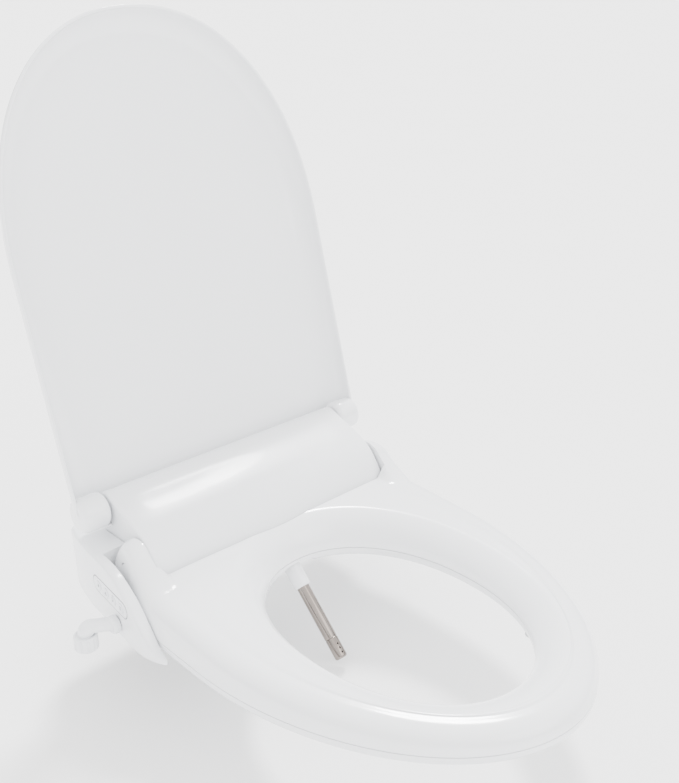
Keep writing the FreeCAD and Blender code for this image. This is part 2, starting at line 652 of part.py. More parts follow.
def nozzle_cradle():
    """Bracket on the tray that guides the tube and holds the screw's front end."""
    body = nozzle_block((-10.5, SCREW_X + 6), (-28, -18.5), (-SCREW_DROP - 5.5, 9.5))
    foot = block((SCREW_X - 12, SCREW_X + 6), (-76, -58), (TRAY_Z + 3, 26))
    tube_hole = nozzle_rod(0, 0, -120, 60, NOZZLE_RADIUS + 0.1)
    screw_hole = nozzle_rod(SCREW_X, -SCREW_DROP, -29, -15, SCREW_RADIUS + PIN_CLEARANCE)
    room = nozzle_block((-12, SCREW_X + 8), (-90, -28.5), (-30, 12))
    return join(body, foot.cut(room)).cut([tube_hole, screw_hole])


def nozzle_guard():
    """White sleeve round the tube from the cradle to just inside the seat opening."""
    outer = nozzle_rod(0, 0, -18, 33, NOZZLE_RADIUS + 2.4)
    inner = nozzle_rod(0, 0, -19, 36, NOZZLE_RADIUS + 0.5)
    return outer.cut(inner)


def lead_screw():
    return nozzle_rod(SCREW_X, -SCREW_DROP, -127.5, -20, SCREW_RADIUS)


def nozzle_motor():
    body = nozzle_rod(SCREW_X, -SCREW_DROP, -141, -128, 5.5)
    return body


# --- inside the housing -------------------------------------------------------------------

def water_heater():
    """Instant heater: ribbed box with an outlet stub towards the nozzle."""
    body = rounded_block((-92, -28), (-48, 22), (TRAY_Z + 3, 44), 5.0)
    ribs = [block((-86 + 9 * i, -83 + 9 * i), (-44, 18), (44, 46.5)) for i in range(7)]
    return join(body, *ribs)


def solenoid_valve():
    body = rounded_block((-142.9, -112), (-28, 0), (TRAY_Z + 3, 31), 3.0)
    coil = rod(Vector(-127, -14, 31), Vector(-127, -14, 52), 10.0)
    stub = rod(Vector(-146, -14, 20), Vector(-142.9, -14, 20), 4.2)
    return join(body, coil, stub)


def heater_hose():
    """Short hose from the valve to the heater."""
    return rod(Vector(-111.8, -14, 20), Vector(-92.2, -14, 20), 4.0)


def control_board():
    board = block((-40, 108), (34.0, 35.6), (14, 62))
    chips = [block((x, x + w), (31.0, 34.0), (z, z + 10)) for x, w, z in ((-30, 14, 22), (5, 22, 40), (60, 16, 20))]
    return join(board, *chips)


def power_supply():
    return rounded_block((112, 147), (-46, 22), (TRAY_Z + 3, 48), 3.0)


def cord_gland():
    """Strain relief in the rear wall; the cord itself isn't part of the model."""
    sleeve = rod(Vector(118, 33, 24), Vector(118, 55, 24), 6.2)
    flange = rod(Vector(118, HOUSING_BACK_Y + 0.2, 24), Vector(118, HOUSING_BACK_Y + 3, 24), 9.5)
    bore = rod(Vector(118, 36, 24), Vector(118, 56, 24), 3.4)
    return join(sleeve, flange).cut(bore)


FAN = Vector(75, -32, 0)
FAN_RADIUS = 22.0


def fan_housing():
    """Round blower casing with an inlet in its lid and an outlet at the front."""
    low = TRAY_Z + 3
    outer = rod(FAN + Vector(0, 0, low), FAN + Vector(0, 0, low + 24), FAN_RADIUS + 6)
    neck = block((FAN.x - 14, FAN.x + 14), (FAN.y - 36, FAN.y), (low, low + 18))
    inner = rod(FAN + Vector(0, 0, low + 2), FAN + Vector(0, 0, low + 22), FAN_RADIUS + 4)
    throat = block((FAN.x - 12, FAN.x + 12), (FAN.y - 37, FAN.y), (low + 2, low + 16))
    inlet = rod(FAN + Vector(0, 0, low + 20), FAN + Vector(0, 0, low + 26), 13.0)
    return join(outer, neck).cut([inner, throat, inlet])


def fan_impeller():
    """Hub, back plate and twelve blades."""
    low = TRAY_Z + 6
    hub = rod(FAN + Vector(0, 0, low), FAN + Vector(0, 0, low + 17), 6.0)
    plate = rod(FAN + Vector(0, 0, low), FAN + Vector(0, 0, low + 1.5), FAN_RADIUS)
    blades = []
    for i in range(12):
        blade = block((5, FAN_RADIUS - 1), (-0.6, 0.6), (low, low + 15))
        blade.rotate(Vector(0, 0, 0), Z_AXIS, 30 * i)
        blade.translate(FAN)
        blades.append(blade)
    bore = rod(FAN + Vector(0, 0, low - 1), FAN + Vector(0, 0, low + 18), 1.55)
    return join(hub, plate, *blades).cut(bore)


def fan_motor():
    """Motor above the casing; its shaft reaches down through the inlet."""
    low = TRAY_Z + 3 + 25.0
    body = rod(FAN + Vector(0, 0, low + 3), FAN + Vector(0, 0, low + 17), 10.0)
    shaft = rod(FAN + Vector(0, 0, TRAY_Z + 7), FAN + Vector(0, 0, low + 3), 1.5)
    bars = block((FAN.x - 26, FAN.x + 26), (FAN.y - 3, FAN.y + 3), (low + 3, low + 6))
    feet = [block((FAN.x + s * 23 - 3, FAN.x + s * 23 + 3), (FAN.y - 3, FAN.y + 3), (TRAY_Z + 27, low + 3))
            for s in (-1, 1)]
    return join(body, shaft, bars, *feet)


def dryer_duct():
    """Warm air duct from the blower to a mouth under the seat's rear edge, angled down."""
    rear = FAN.y - 36.2
    path = [(rear, 9.2), (rear, 26.8), (-78, 26.8), (-88, 18), (-84.5, 6.5), (-81, 6.5), (-80.8, 9.2)]
    outer = prism_x(path, FAN.x - 15, FAN.x + 15)
    bore = prism_x([(rear + 1, 11), (rear + 1, 25), (-78.6, 25), (-88, 16.5), (-90, 10), (-86, 6), (-80, 11)],
                   FAN.x - 13, FAN.x + 13)
    return outer.cut(bore)


def dryer_coil():
    """Heating wires across the duct, held by a mica strip."""
    strip = block((FAN.x - 12.8, FAN.x + 12.8), (-78, -76.8), (11.2, 24.8))
    wires = [rod(Vector(FAN.x - 12.5, -77.4, z), Vector(FAN.x + 12.5, -77.4, z), 1.2) for z in (14, 18, 22)]
    return join(strip, *wires)


def damper(axis, radius, bore, side):
    """Rotary soft-close damper in one end of the housing."""
    y, z = axis
    start = Vector(side * 112, y, z)
    end = Vector(side * 151.2, y, z)
    return rod(start, end, radius).cut(rod(Vector(side * 139, y, z), end + Vector(side, 0, 0), bore))


def hinge_bushes():
    """Plain bearings for the undamped end of each hinge."""
    pieces = []
    for axis, radius, side in ((LID_AXIS, LID_PIN_RADIUS, -1), (SEAT_AXIS, SEAT_PIN_RADIUS, 1)):
        start = Vector(side * 139, *axis)
        end = Vector(side * 151.2, *axis)
        pieces.append(tube(start, end, radius + 5, radius + PIN_CLEARANCE))
    return Part.makeCompound(pieces)


PIECES = {
    "mounting_plate": mounting_plate,
    "base_tray": base_tray,
    "bolster_cover": bolster_cover,
    "right_end_cap": right_end_cap,
    "release_button": release_button,
    "housing_screws": housing_screws,
    "arm_casing": arm_casing,
    "arm_base": arm_base,
    "pad_bezel": pad_bezel,
    "pad_circuit_board": pad_circuit_board,
    "inlet_elbow": inlet_elbow,
    "union_nut": union_nut,
    "inlet_filter": inlet_filter,
    "inlet_pipe": inlet_pipe,
    "solenoid_valve": solenoid_valve,
    "heater_hose": heater_hose,
    "water_heater": water_heater,
    "control_board": control_board,
    "power_supply": power_supply,
    "cord_gland": cord_gland,
    "fan_housing": fan_housing,
    "fan_impeller": fan_impeller,
    "fan_motor": fan_motor,
    "dryer_duct": dryer_duct,
    "dryer_coil": dryer_coil,
    "hinge_bushes": hinge_bushes,
    "nozzle_cradle": nozzle_cradle,
    "nozzle_guard": nozzle_guard,
    "nozzle_tube": nozzle_tube,
    "nozzle_tip": nozzle_tip,
    "nozzle_carriage": nozzle_carriage,
    "lead_screw": lead_screw,
    "nozzle_motor": nozzle_motor,
    "seat_upper_shell": seat_upper_shell,
    "seat_lower_shell": seat_lower_shell,
    "seat_heater": seat_heater,
    "seat_bumpers": seat_bumpers,
    "lid_shell": lid_shell,
}

os.makedirs("parts", exist_ok=True)
shapes = {name: make() for name, make in PIECES.items()}
shapes["lid_damper"] = damper(LID_AXIS, 10.0, LID_PIN_RADIUS + PIN_CLEARANCE, 1)
shapes["seat_damper"] = damper(SEAT_AXIS, 12.0, SEAT_PIN_RADIUS + PIN_CLEARANCE, -1)
shapes["lid_hinge_pins"] = hinge_pins(LID_AXIS, LID_PIN_RADIUS, KNUCKLE_OUTER_X - 3)
shapes["seat_hinge_pins"] = hinge_pins(SEAT_AXIS, SEAT_PIN_RADIUS, EAR_OUTER_X - 2.5)
for name, along in zip(BUTTON_NAMES, button_offsets()):
    shapes[name] = button(along)
for name, shape in shapes.items():
    shape.exportStep(f"parts/{name}.step")
    print(name, "valid" if shape.isValid() else "INVALID", len(shape.Solids), round(shape.Volume / 1000, 2))
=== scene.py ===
import math

import bmesh
import bpy
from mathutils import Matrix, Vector


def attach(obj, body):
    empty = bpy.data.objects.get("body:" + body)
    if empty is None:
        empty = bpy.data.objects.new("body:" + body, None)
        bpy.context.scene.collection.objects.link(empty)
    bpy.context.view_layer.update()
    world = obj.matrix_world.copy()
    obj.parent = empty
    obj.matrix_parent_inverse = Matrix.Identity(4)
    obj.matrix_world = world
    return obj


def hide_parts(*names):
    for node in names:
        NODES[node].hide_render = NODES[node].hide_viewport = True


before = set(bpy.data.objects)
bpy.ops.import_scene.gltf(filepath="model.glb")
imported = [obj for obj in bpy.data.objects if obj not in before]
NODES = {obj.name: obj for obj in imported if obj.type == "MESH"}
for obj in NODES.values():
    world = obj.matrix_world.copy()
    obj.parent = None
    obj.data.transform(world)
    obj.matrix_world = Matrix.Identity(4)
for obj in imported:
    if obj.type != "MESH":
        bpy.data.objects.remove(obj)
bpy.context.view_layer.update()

# Lengths are millimetres in the part's frame: the user sits facing -Y, +Z is up. Only the
# materials differ: their noise scales are per metre and their bump depths are metres.
MM = 0.001

# --- the camera: the photograph's viewing angle -----------------------------------------
CAMERA_PLACE = (-590.1, -852.9, 623.2)
CAMERA_AZIMUTH = math.radians(-44.51)
CAMERA_ELEVATION = math.radians(24.3)
CAMERA_LENS = 46.99
CAMERA_SHIFT = (-0.0613, 0.0238)
camera_data = bpy.data.cameras.new("camera")
camera_data.lens = CAMERA_LENS
camera_data.sensor_width = 36.0
camera_data.shift_x, camera_data.shift_y = CAMERA_SHIFT
camera_data.clip_start = 0.02
camera_data.clip_end = 300.0
camera = bpy.data.objects.new("camera", camera_data)
bpy.context.scene.collection.objects.link(camera)
view_back = Vector((math.sin(CAMERA_AZIMUTH) * math.cos(CAMERA_ELEVATION),
                    -math.cos(CAMERA_AZIMUTH) * math.cos(CAMERA_ELEVATION),
                    math.sin(CAMERA_ELEVATION)))
camera.location = Vector(CAMERA_PLACE) * MM
camera.rotation_euler = (-view_back).to_track_quat("-Z", "Y").to_euler()
bpy.context.scene.camera = camera


# --- materials --------------------------------------------------------------------------
# Noise seldom leaves the middle of its 0-1 range, so only that part is mapped.
GLOSS_NOISE = (0.3, 0.7)
COLOUR_NOISE = (0.35, 0.65)
PLASTIC_IOR = 1.52
COAT_ROUGHNESS = 0.06


def new_material(name):
    material = bpy.data.materials.new(name)
    material.use_nodes = True
    tree = material.node_tree
    coordinates = tree.nodes.new("ShaderNodeTexCoord")
    return material, tree, tree.nodes["Principled BSDF"], coordinates.outputs["Object"]


def noise_node(tree, place, scale, detail=3.0, stretch=None):
    noise = tree.nodes.new("ShaderNodeTexNoise")
    noise.inputs["Scale"].default_value = scale
    noise.inputs["Detail"].default_value = detail
    if stretch:
        mapping = tree.nodes.new("ShaderNodeMapping")
        mapping.inputs["Scale"].default_value = stretch
        tree.links.new(place, mapping.inputs["Vector"])
        place = mapping.outputs["Vector"]
    tree.links.new(place, noise.inputs["Vector"])
    return noise.outputs["Fac"]


def vary_roughness(tree, shader, noise, low, high):
    node = tree.nodes.new("ShaderNodeMapRange")
    node.inputs["From Min"].default_value = GLOSS_NOISE[0]
    node.inputs["From Max"].default_value = GLOSS_NOISE[1]
    node.inputs["To Min"].default_value = low
    node.inputs["To Max"].default_value = high
    tree.links.new(noise, node.inputs["Value"])
    tree.links.new(node.outputs["Result"], shader.inputs["Roughness"])


def vary_colour(tree, shader, noise, first, second):
    ramp = tree.nodes.new("ShaderNodeValToRGB")
    for element, position, colour in zip(ramp.color_ramp.elements, COLOUR_NOISE, (first, second)):
        element.position = position
        element.color = (*colour, 1.0)
    tree.links.new(noise, ramp.inputs["Fac"])
    tree.links.new(ramp.outputs["Color"], shader.inputs["Base Color"])


def bump(tree, shader, noise, depth):
    node = tree.nodes.new("ShaderNodeBump")
    node.inputs["Distance"].default_value = depth
    node.inputs["Strength"].default_value = 1.0
    tree.links.new(noise, node.inputs["Height"])
    tree.links.new(node.outputs["Normal"], shader.inputs["Normal"])


def darker(colour, factor):
    return tuple(c * factor for c in colour)


def plastic(name, colour, roughness, texture=900.0, depth=0.00002, coat=0.0, vary=0.012):
    """Moulded plastic: faint cloudiness, uneven gloss and a fine mould texture."""
    material, tree, shader, place = new_material(name)
    broad = noise_node(tree, place, 9.0)
    vary_colour(tree, shader, broad, darker(colour, 1.0 - vary), colour)
    fine = noise_node(tree, place, 60.0, 4.0)
    vary_roughness(tree, shader, fine, roughness * 0.85, roughness * 1.15)
    bump(tree, shader, noise_node(tree, place, texture, 2.0), depth)
    shader.inputs["IOR"].default_value = PLASTIC_IOR
    shader.inputs["Coat Weight"].default_value = coat
    shader.inputs["Coat Roughness"].default_value = COAT_ROUGHNESS
    return material


def metal(name, colour, roughness, stretch, vary=0.12, depth=0.000015):
    """Metal with fine drawn or ground lines along one direction."""
    material, tree, shader, place = new_material(name)
    lines = noise_node(tree, place, 260.0, 5.0, stretch)
    vary_colour(tree, shader, lines, darker(colour, 1.0 - vary), colour)
    vary_roughness(tree, shader, lines, roughness * 0.8, roughness * 1.3)
    bump(tree, shader, lines, depth)
    shader.inputs["Metallic"].default_value = 1.0
    return material


def rubber(name, colour, roughness=0.62):
    """Matt rubber with a fine grain."""
    material, tree, shader, place = new_material(name)
    grain = noise_node(tree, place, 1400.0, 4.0)
    vary_colour(tree, shader, noise_node(tree, place, 40.0), darker(colour, 0.86), colour)
    vary_roughness(tree, shader, grain, roughness * 0.9, roughness * 1.1)
    bump(tree, shader, grain, 0.00006)
    return material


WHITE_SHELL = plastic("white_shell", (0.845, 0.855, 0.872), 0.17, 420.0, 0.000012, coat=0.35)
WHITE_BODY = plastic("white_body", (0.83, 0.842, 0.862), 0.22, 420.0, 0.000014, coat=0.25)
WHITE_MOULDING = plastic("white_moulding", (0.74, 0.75, 0.765), 0.42, 1100.0, 0.00004)
PAD_STRIP = plastic("pad_strip", (0.80, 0.815, 0.84), 0.26, 900.0, 0.00001, coat=0.2)
BUTTON_CAPS = plastic("button_caps", (0.76, 0.775, 0.80), 0.30, 900.0, 0.00002)
ICON_INK = plastic("icon_ink", (0.16, 0.17, 0.19), 0.5, 900.0, 0.00001)
# Dark ring round the control pad: painted shade standing for the shaded gap between the pad and the arm.
PAD_GAP_PAINTED_SHADE = rubber("pad_gap_painted_shade", (0.17, 0.175, 0.19), 0.55)
# The nozzle steel's dark brown base colour is painted reflection of dark surroundings on the polished tube; the lines
# along the tube are drawn lines.
STEEL = metal("polished_steel", (0.27, 0.235, 0.21), 0.11, (1.0, 0.04, 0.04))
PIN_STEEL = metal("ground_steel", (0.60, 0.60, 0.61), 0.3, (0.05, 1.0, 1.0))
MOTOR_STEEL = metal("zinc_can", (0.55, 0.56, 0.58), 0.36, (1.0, 1.0, 0.1))
RUBBER_GREY = rubber("rubber_grey", (0.46, 0.47, 0.49))
DARK_PLASTIC = plastic("dark_plastic", (0.03, 0.03, 0.033), 0.45, 1200.0, 0.00005, vary=0.15)
CIRCUIT = plastic("circuit", (0.02, 0.16, 0.07), 0.35, 700.0, 0.00003, vary=0.25)
BRASS = metal("brass", (0.72, 0.52, 0.24), 0.28, (1.0, 1.0, 0.2))
HEATER_FILM = plastic("heater_film", (0.62, 0.30, 0.06), 0.3, 500.0, 0.00003, vary=0.2)
HOSE = plastic("hose_silicone", (0.62, 0.65, 0.68), 0.35, 700.0, 0.00003)

# The material of every node that keeps its CAD mesh.
NODE_FINISH = {
    "mounting_plate": WHITE_MOULDING,
    "base_tray": WHITE_MOULDING,
    "housing_screws": PIN_STEEL,
    "arm_base": WHITE_MOULDING,
    "pad_bezel": PAD_STRIP,
    "pad_circuit_board": CIRCUIT,
    "inlet_filter": BRASS,
    "inlet_pipe": PIN_STEEL,
    "solenoid_valve": DARK_PLASTIC,
    "heater_hose": HOSE,
    "water_heater": MOTOR_STEEL,
    "control_board": CIRCUIT,
    "power_supply": DARK_PLASTIC,
    "cord_gland": RUBBER_GREY,
    "fan_housing": DARK_PLASTIC,
    "fan_impeller": WHITE_MOULDING,
    "fan_motor": MOTOR_STEEL,
    "dryer_duct": WHITE_MOULDING,
    "dryer_coil": BRASS,
    "hinge_bushes": WHITE_MOULDING,
    "nozzle_cradle": WHITE_MOULDING,
    "nozzle_carriage": WHITE_MOULDING,
    "lead_screw": PIN_STEEL,
    "nozzle_motor": MOTOR_STEEL,
    "seat_heater": HEATER_FILM,
    "seat_bumpers": RUBBER_GREY,
    "lid_damper": DARK_PLASTIC,
    "seat_damper": DARK_PLASTIC,
    "lid_hinge_pins": PIN_STEEL,
    "seat_hinge_pins": PIN_STEEL,
    "release_button": BUTTON_CAPS,
    "button_stop": BUTTON_CAPS,
    "button_rear_wash": BUTTON_CAPS,
    "button_front_wash": BUTTON_CAPS,
    "button_dryer": BUTTON_CAPS,
}


# --- mesh tools -------------------------------------------------------------------------
SHARP_ANGLE = math.radians(38.0)
WELD_DISTANCE = 0.002
SHORTEST_EDGE = 0.001


def mesh_object(name, verts, faces):
    mesh = bpy.data.meshes.new(name)
    mesh.from_pydata([tuple(c * MM for c in v) for v in verts], [], faces)
    work = bmesh.new()
    work.from_mesh(mesh)
    bmesh.ops.remove_doubles(work, verts=work.verts, dist=WELD_DISTANCE * MM)
    bmesh.ops.recalc_face_normals(work, faces=work.faces)
    work.to_mesh(mesh)
    work.free()
    made = bpy.data.objects.new(name, mesh)
    bpy.context.scene.collection.objects.link(made)
    return made


def stack(rings, loop=False):
    """Vertices and faces through closed rings of equal length, capped unless the rings loop."""
    n = len(rings[0])
    count = len(rings)
    verts = [p for ring in rings for p in ring]
    faces = []
    for r in range(count if loop else count - 1):
        a = r * n
        b = (r + 1) % count * n
        for i in range(n):
            j = (i + 1) % n
            faces.append((a + i, a + j, b + j, b + i))
    if not loop:
        faces.append(tuple(range(n - 1, -1, -1)))
        faces.append(tuple(range((count - 1) * n, count * n)))
    return verts, faces


def ring_object(name, rings, loop=False):
    return mesh_object(name, *stack(rings, loop))


def box_tool(low, high):
    verts = [(x, y, z) for x in (low[0], high[0]) for y in (low[1], high[1]) for z in (low[2], high[2])]
    faces = [(0, 1, 3, 2), (4, 6, 7, 5), (0, 4, 5, 1), (2, 3, 7, 6), (0, 2, 6, 4), (1, 5, 7, 3)]
    return mesh_object("tool", verts, faces)


def prism_tool(points, low, high, place=None):
    """Prism along X over a polygon of (y, z), moved by a function where one is given."""
    rings = [[(x, y, z) for y, z in points] for x in (low, high)]
    if place:
        rings = [[place(*p) for p in ring] for ring in rings]
    return ring_object("tool", rings)


def boolean(target, tool, operation="DIFFERENCE"):
    """Apply an exact boolean to the target and delete the tool."""
    step = target.modifiers.new("step", "BOOLEAN")
    step.solver = "EXACT"
    step.operation = operation
    step.object = tool
    graph = bpy.context.evaluated_depsgraph_get()
    result = bpy.data.meshes.new_from_object(target.evaluated_get(graph))
    target.modifiers.clear()
    old = target.data
    target.data = result
    bpy.data.meshes.remove(old)
    bpy.data.objects.remove(tool)


def finish_piece(piece, body, material, replaces=()):
    """Smooth shading with sharp edges kept, one material, and the body the piece rides on."""
    mesh = piece.data
    mesh.materials.clear()
    mesh.materials.append(material)
    work = bmesh.new()
    work.from_mesh(mesh)
    bmesh.ops.dissolve_degenerate(work, dist=SHORTEST_EDGE * MM, edges=work.edges)
    for face in work.faces:
        face.smooth = True
    for edge in work.edges:
        edge.smooth = len(edge.link_faces) == 2 and edge.calc_face_angle(0.0) < SHARP_ANGLE
    work.to_mesh(mesh)
    work.free()
    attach(piece, body)
    if replaces:
        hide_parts(*replaces)


def curve_through(points, steps):
    """Smooth path through the points (centripetal Catmull-Rom), as tuples."""
    pts = [Vector(p) for p in points]
    pts = [2 * pts[0] - pts[1]] + pts + [2 * pts[-1] - pts[-2]]
    out = []
    for k in range(1, len(pts) - 2):
        p0, p1, p2, p3 = pts[k - 1:k + 3]
        t1 = math.sqrt((p1 - p0).length)
        t2 = t1 + math.sqrt((p2 - p1).length)
        t3 = t2 + math.sqrt((p3 - p2).length)
        for s in range(steps):
            t = t1 + (t2 - t1) * s / steps
            a1 = p0 * ((t1 - t) / t1) + p1 * (t / t1)
            a2 = p1 * ((t2 - t) / (t2 - t1)) + p2 * ((t - t1) / (t2 - t1))
            a3 = p2 * ((t3 - t) / (t3 - t2)) + p3 * ((t - t2) / (t3 - t2))
            b1 = a1 * ((t2 - t) / t2) + a2 * (t / t2)
            b2 = a2 * ((t3 - t) / (t3 - t1)) + a3 * ((t - t1) / (t3 - t1))
            out.append(tuple(b1 * ((t2 - t) / (t2 - t1)) + b2 * ((t - t1) / (t2 - t1))))
    out.append(tuple(pts[-2]))
    return out


def smoothstep(low, high, value):
    t = min(max((value - low) / (high - low), 0.0), 1.0)
    return t * t * (3 - 2 * t)


def quarter(steps, power):
    """Pairs (across, up) along a superelliptic quarter from (0, 0) to (1, 1)."""
    out = []
    for k in range(steps + 1):
        angle = math.pi / 2 * k / steps
        out.append((1 - math.cos(angle) ** (2 / power), math.sin(angle) ** (2 / power)))
    return out


def rim_rounding(radius, steps):
    """Pairs (distance from the end, inset) round an edge, from the end face to the full side."""
    out = []
    for k in range(steps + 1):
        angle = math.pi / 2 * k / steps
        out.append((radius * (1 - math.cos(angle)), radius * (1 - math.sin(angle))))
    return out


def arc_points(cy, cz, radius, start, end, steps):
    """Points of an arc in any plane, its angles in degrees."""
    out = []
    for k in range(steps + 1):
        angle = math.radians(start + (end - start) * k / steps)
        out.append((cy + radius * math.cos(angle), cz + radius * math.sin(angle)))
    return out


def ring_about(centre, first, second, radius, steps):
    ring = []
    for k in range(steps):
        angle = 2 * math.pi * k / steps
        ring.append(tuple(centre + first * (radius * math.cos(angle)) + second * (radius * math.sin(angle))))
    return ring


def lathe(name, origin, axes, profile, steps, loop=False):
    """Surface of revolution from (distance along the first axis, radius) pairs."""
    along, first, second = axes
    rings = [ring_about(origin + along * distance, first, second, radius, steps) for distance, radius in profile]
    return ring_object(name, rings, loop)


# --- lid --------------------------------------------------------------------------------
# Drawn closed and flat, rim down, then turned about its hinge to where it stands open.
LID_HALF = 188.5
LID_WIDEST_Y = -234.0
LID_FRONT = 246.0
LID_POWER = 2.18
LID_BACK = 26.0
LID_CORNER = 26.0
LID_LEAST_CORNER = 4.0
LID_LEAN = 0.45
LID_DEPTH = 26.0
LID_SKIN_REACH = 32.0
LID_SKIN_POWER = 2.2
LID_SKIN_STEPS = 16
LID_WALL = 3.0
LID_RIM_STEPS = 8
LID_CROWN = 2.5
LID_CROWN_SHARES = (0.1, 0.22, 0.36, 0.5, 0.64, 0.78, 0.9, 0.97)
LID_CENTRE_Y = -150.0
LID_HINGE_LOCAL = (5.8, 5.6)
LID_HINGE = (3.0, 101.0)
LID_ANGLE = math.radians(-104.6)
LID_FRONT_STEPS = 128
LID_SIDE_STEPS = 28
LID_CORNER_STEPS = 12
LID_BACK_STEPS = 20
# Between the knuckles the back edge is cut away and closed by a shallow roll.
LID_CUT_X = 155.5
LID_CUT_LOW = -6.0
LID_CUT_HIGH = 45.0
LID_CUT_BACK = 70.0
LID_ROLL_ANGLES = (93, 45)
LID_ROLL_STEPS = 16
KNUCKLE_X = (156.5, 187.0)
KNUCKLE_RADIUS = 18.6
KNUCKLE_FILLET = 6.0
KNUCKLE_FILLET_STEPS = 6
KNUCKLE_STEPS = 64


def lid_point(x, y, z):
    """From the closed lid's frame to its open place."""
    dy = y - LID_HINGE_LOCAL[0]
    dz = z - LID_HINGE_LOCAL[1]
    c = math.cos(LID_ANGLE)
    s = math.sin(LID_ANGLE)
    return (x, LID_HINGE[0] + c * dy - s * dz, LID_HINGE[1] + s * dy + c * dz)


def lid_ring(inset, wall, z):
    """The lid's outline, drawn in by the inset of its rounded edge and by its wall."""
    half = LID_HALF - inset - wall
    depth = LID_FRONT - inset - wall
    ring = []
    for i in range(LID_FRONT_STEPS + 1):
        angle = math.pi + math.pi * i / LID_FRONT_STEPS
        c = math.cos(angle)
        s = math.sin(angle)
        r = (abs(c / half) ** LID_POWER + abs(s / depth) ** LID_POWER) ** (-1 / LID_POWER)
        ring.append((r * c, LID_WIDEST_Y + r * s, z))
    back = LID_BACK - LID_LEAN * inset - wall
    radius = max(LID_CORNER - inset, LID_LEAST_CORNER)
    right = []
    for i in range(1, LID_SIDE_STEPS):
        right.append((half, LID_WIDEST_Y + (back - radius - LID_WIDEST_Y) * i / LID_SIDE_STEPS))
    for i in range(LID_CORNER_STEPS + 1):
        angle = math.pi / 2 * i / LID_CORNER_STEPS
        right.append((half - radius + radius * math.cos(angle), back - radius + radius * math.sin(angle)))
    for i in range(1, LID_BACK_STEPS):
        right.append(((half - radius) * (1 - i / LID_BACK_STEPS), back))
    ring += [(x, y, z) for x, y in right]
    ring.append((0.0, back, z))
    ring += [(-x, y, z) for x, y in reversed(right)]
    return ring


def lid_skin(wall, depth):
    """Rings from the rim inwards over the rounded edge."""
    return [lid_ring(LID_SKIN_REACH * across, wall, depth * up)
            for across, up in quarter(LID_SKIN_STEPS, LID_SKIN_POWER)[1:]]


def lid_crown(inset_ring, depth):
    """Rings from a ring to a pole near the lid's middle, gently crowned."""
    rings = []
    for share in LID_CROWN_SHARES:
        z = depth + LID_CROWN * share * share * (3 - 2 * share)
        rings.append([(x * (1 - share), y + (LID_CENTRE_Y - y) * share, z) for x, y, _ in inset_ring])
    return rings


def build_lid():
    inner_depth = LID_DEPTH - LID_WALL
    outer = lid_skin(0.0, LID_DEPTH)
    inner = lid_skin(LID_WALL, inner_depth)
    rim = []
    for k in range(LID_RIM_STEPS + 1):
        angle = math.pi * k / LID_RIM_STEPS
        offset = LID_WALL / 2 * (1 - math.cos(angle))
        rim.append(lid_ring(0.0, offset, LID_WALL / 2 * (1 - math.sin(angle))))
    top = lid_crown(outer[-1], LID_DEPTH)
    under = lid_crown(inner[-1], inner_depth)
    rings = top[::-1] + outer[::-1] + rim + inner + under
    lid = ring_object("lid", [[lid_point(*p) for p in ring] for ring in rings])
    ay, az = LID_HINGE_LOCAL
    cut = [(ay, LID_CUT_LOW), (ay, LID_CUT_HIGH), (LID_CUT_BACK, LID_CUT_HIGH), (LID_CUT_BACK, LID_CUT_LOW)]
    boolean(lid, prism_tool(cut, -LID_CUT_X, LID_CUT_X, lid_point))
    outside = arc_points(ay, az, LID_DEPTH - az, *LID_ROLL_ANGLES, LID_ROLL_STEPS)
    inside = arc_points(ay, az, LID_DEPTH - az - LID_WALL, *LID_ROLL_ANGLES, LID_ROLL_STEPS)
    boolean(lid, prism_tool(outside + inside[::-1], -LID_CUT_X, LID_CUT_X, lid_point), "UNION")
    for side in (-1, 1):
        boolean(lid, ring_object("tool", knuckle_rings(side)), "UNION")
    finish_piece(lid, "lid", WHITE_SHELL, ("lid_shell",))


def knuckle_rings(side):
    """A short cylinder with rounded rims about the lid's hinge."""
    ay, az = LID_HINGE_LOCAL
    low, high = KNUCKLE_X
    edge = rim_rounding(KNUCKLE_FILLET, KNUCKLE_FILLET_STEPS)
    span = [(low + along, KNUCKLE_RADIUS - inset) for along, inset in edge]
    span += [(high - along, KNUCKLE_RADIUS - inset) for along, inset in reversed(edge)]
    rings = []
    for x, r in span:
        ring = []
        for k in range(KNUCKLE_STEPS):
            angle = 2 * math.pi * k / KNUCKLE_STEPS
            ring.append(lid_point(side * x, ay + r * math.cos(angle), az + r * math.sin(angle)))
        rings.append(ring)
    return rings


# --- seat -------------------------------------------------------------------------------
SEAT_HALF = 186.0
SEAT_CENTRE_Y = -195.0
SEAT_FRONT = 283.0
SEAT_REAR = 195.0
SEAT_TIP_Y = SEAT_CENTRE_Y - SEAT_FRONT
SEAT_POWERS = (1.95, 14.0)
SEAT_TAPER = 0.046
SEAT_TAPER_Y = (-110.0, -50.0)
OPENING_HALF = 106.0
OPENING_CENTRE_Y = -262.0
OPENING_FRONT = 152.0
OPENING_REAR = 150.0
OPENING_POWER = 2.1
SEAT_RISE = 0.046
PARTING_Z = 20.0
PARTING_LIP = 0.4
SEAT_SKIN_REACH = 24.0
SEAT_SKIN_DEPTH = 18.5
SEAT_SKIN_POWER = 2.45
SEAT_SKIN_STEPS = 20
SEAT_CROWN = 0.8
SEAT_TOP_STEPS = 48
OPENING_REACH = 31.0
OPENING_DEPTH = 19.0
OPENING_SKIN_POWER = 1.7
OPENING_SKIN_STEPS = 18
EAR_Y = -60.0
EAR_Z = 66.0
EAR_RADIUS = 24.0
EAR_FRONT_Y = -77.0
EAR_BLEND = 38.0
EAR_FOOT_HEIGHT = 25.0
EAR_FOOT_POWER = 1.5
EAR_EDGE = 9.0
EAR_EDGE_POWER = 2.5
EAR_INNER_X = (142.0, 156.0)
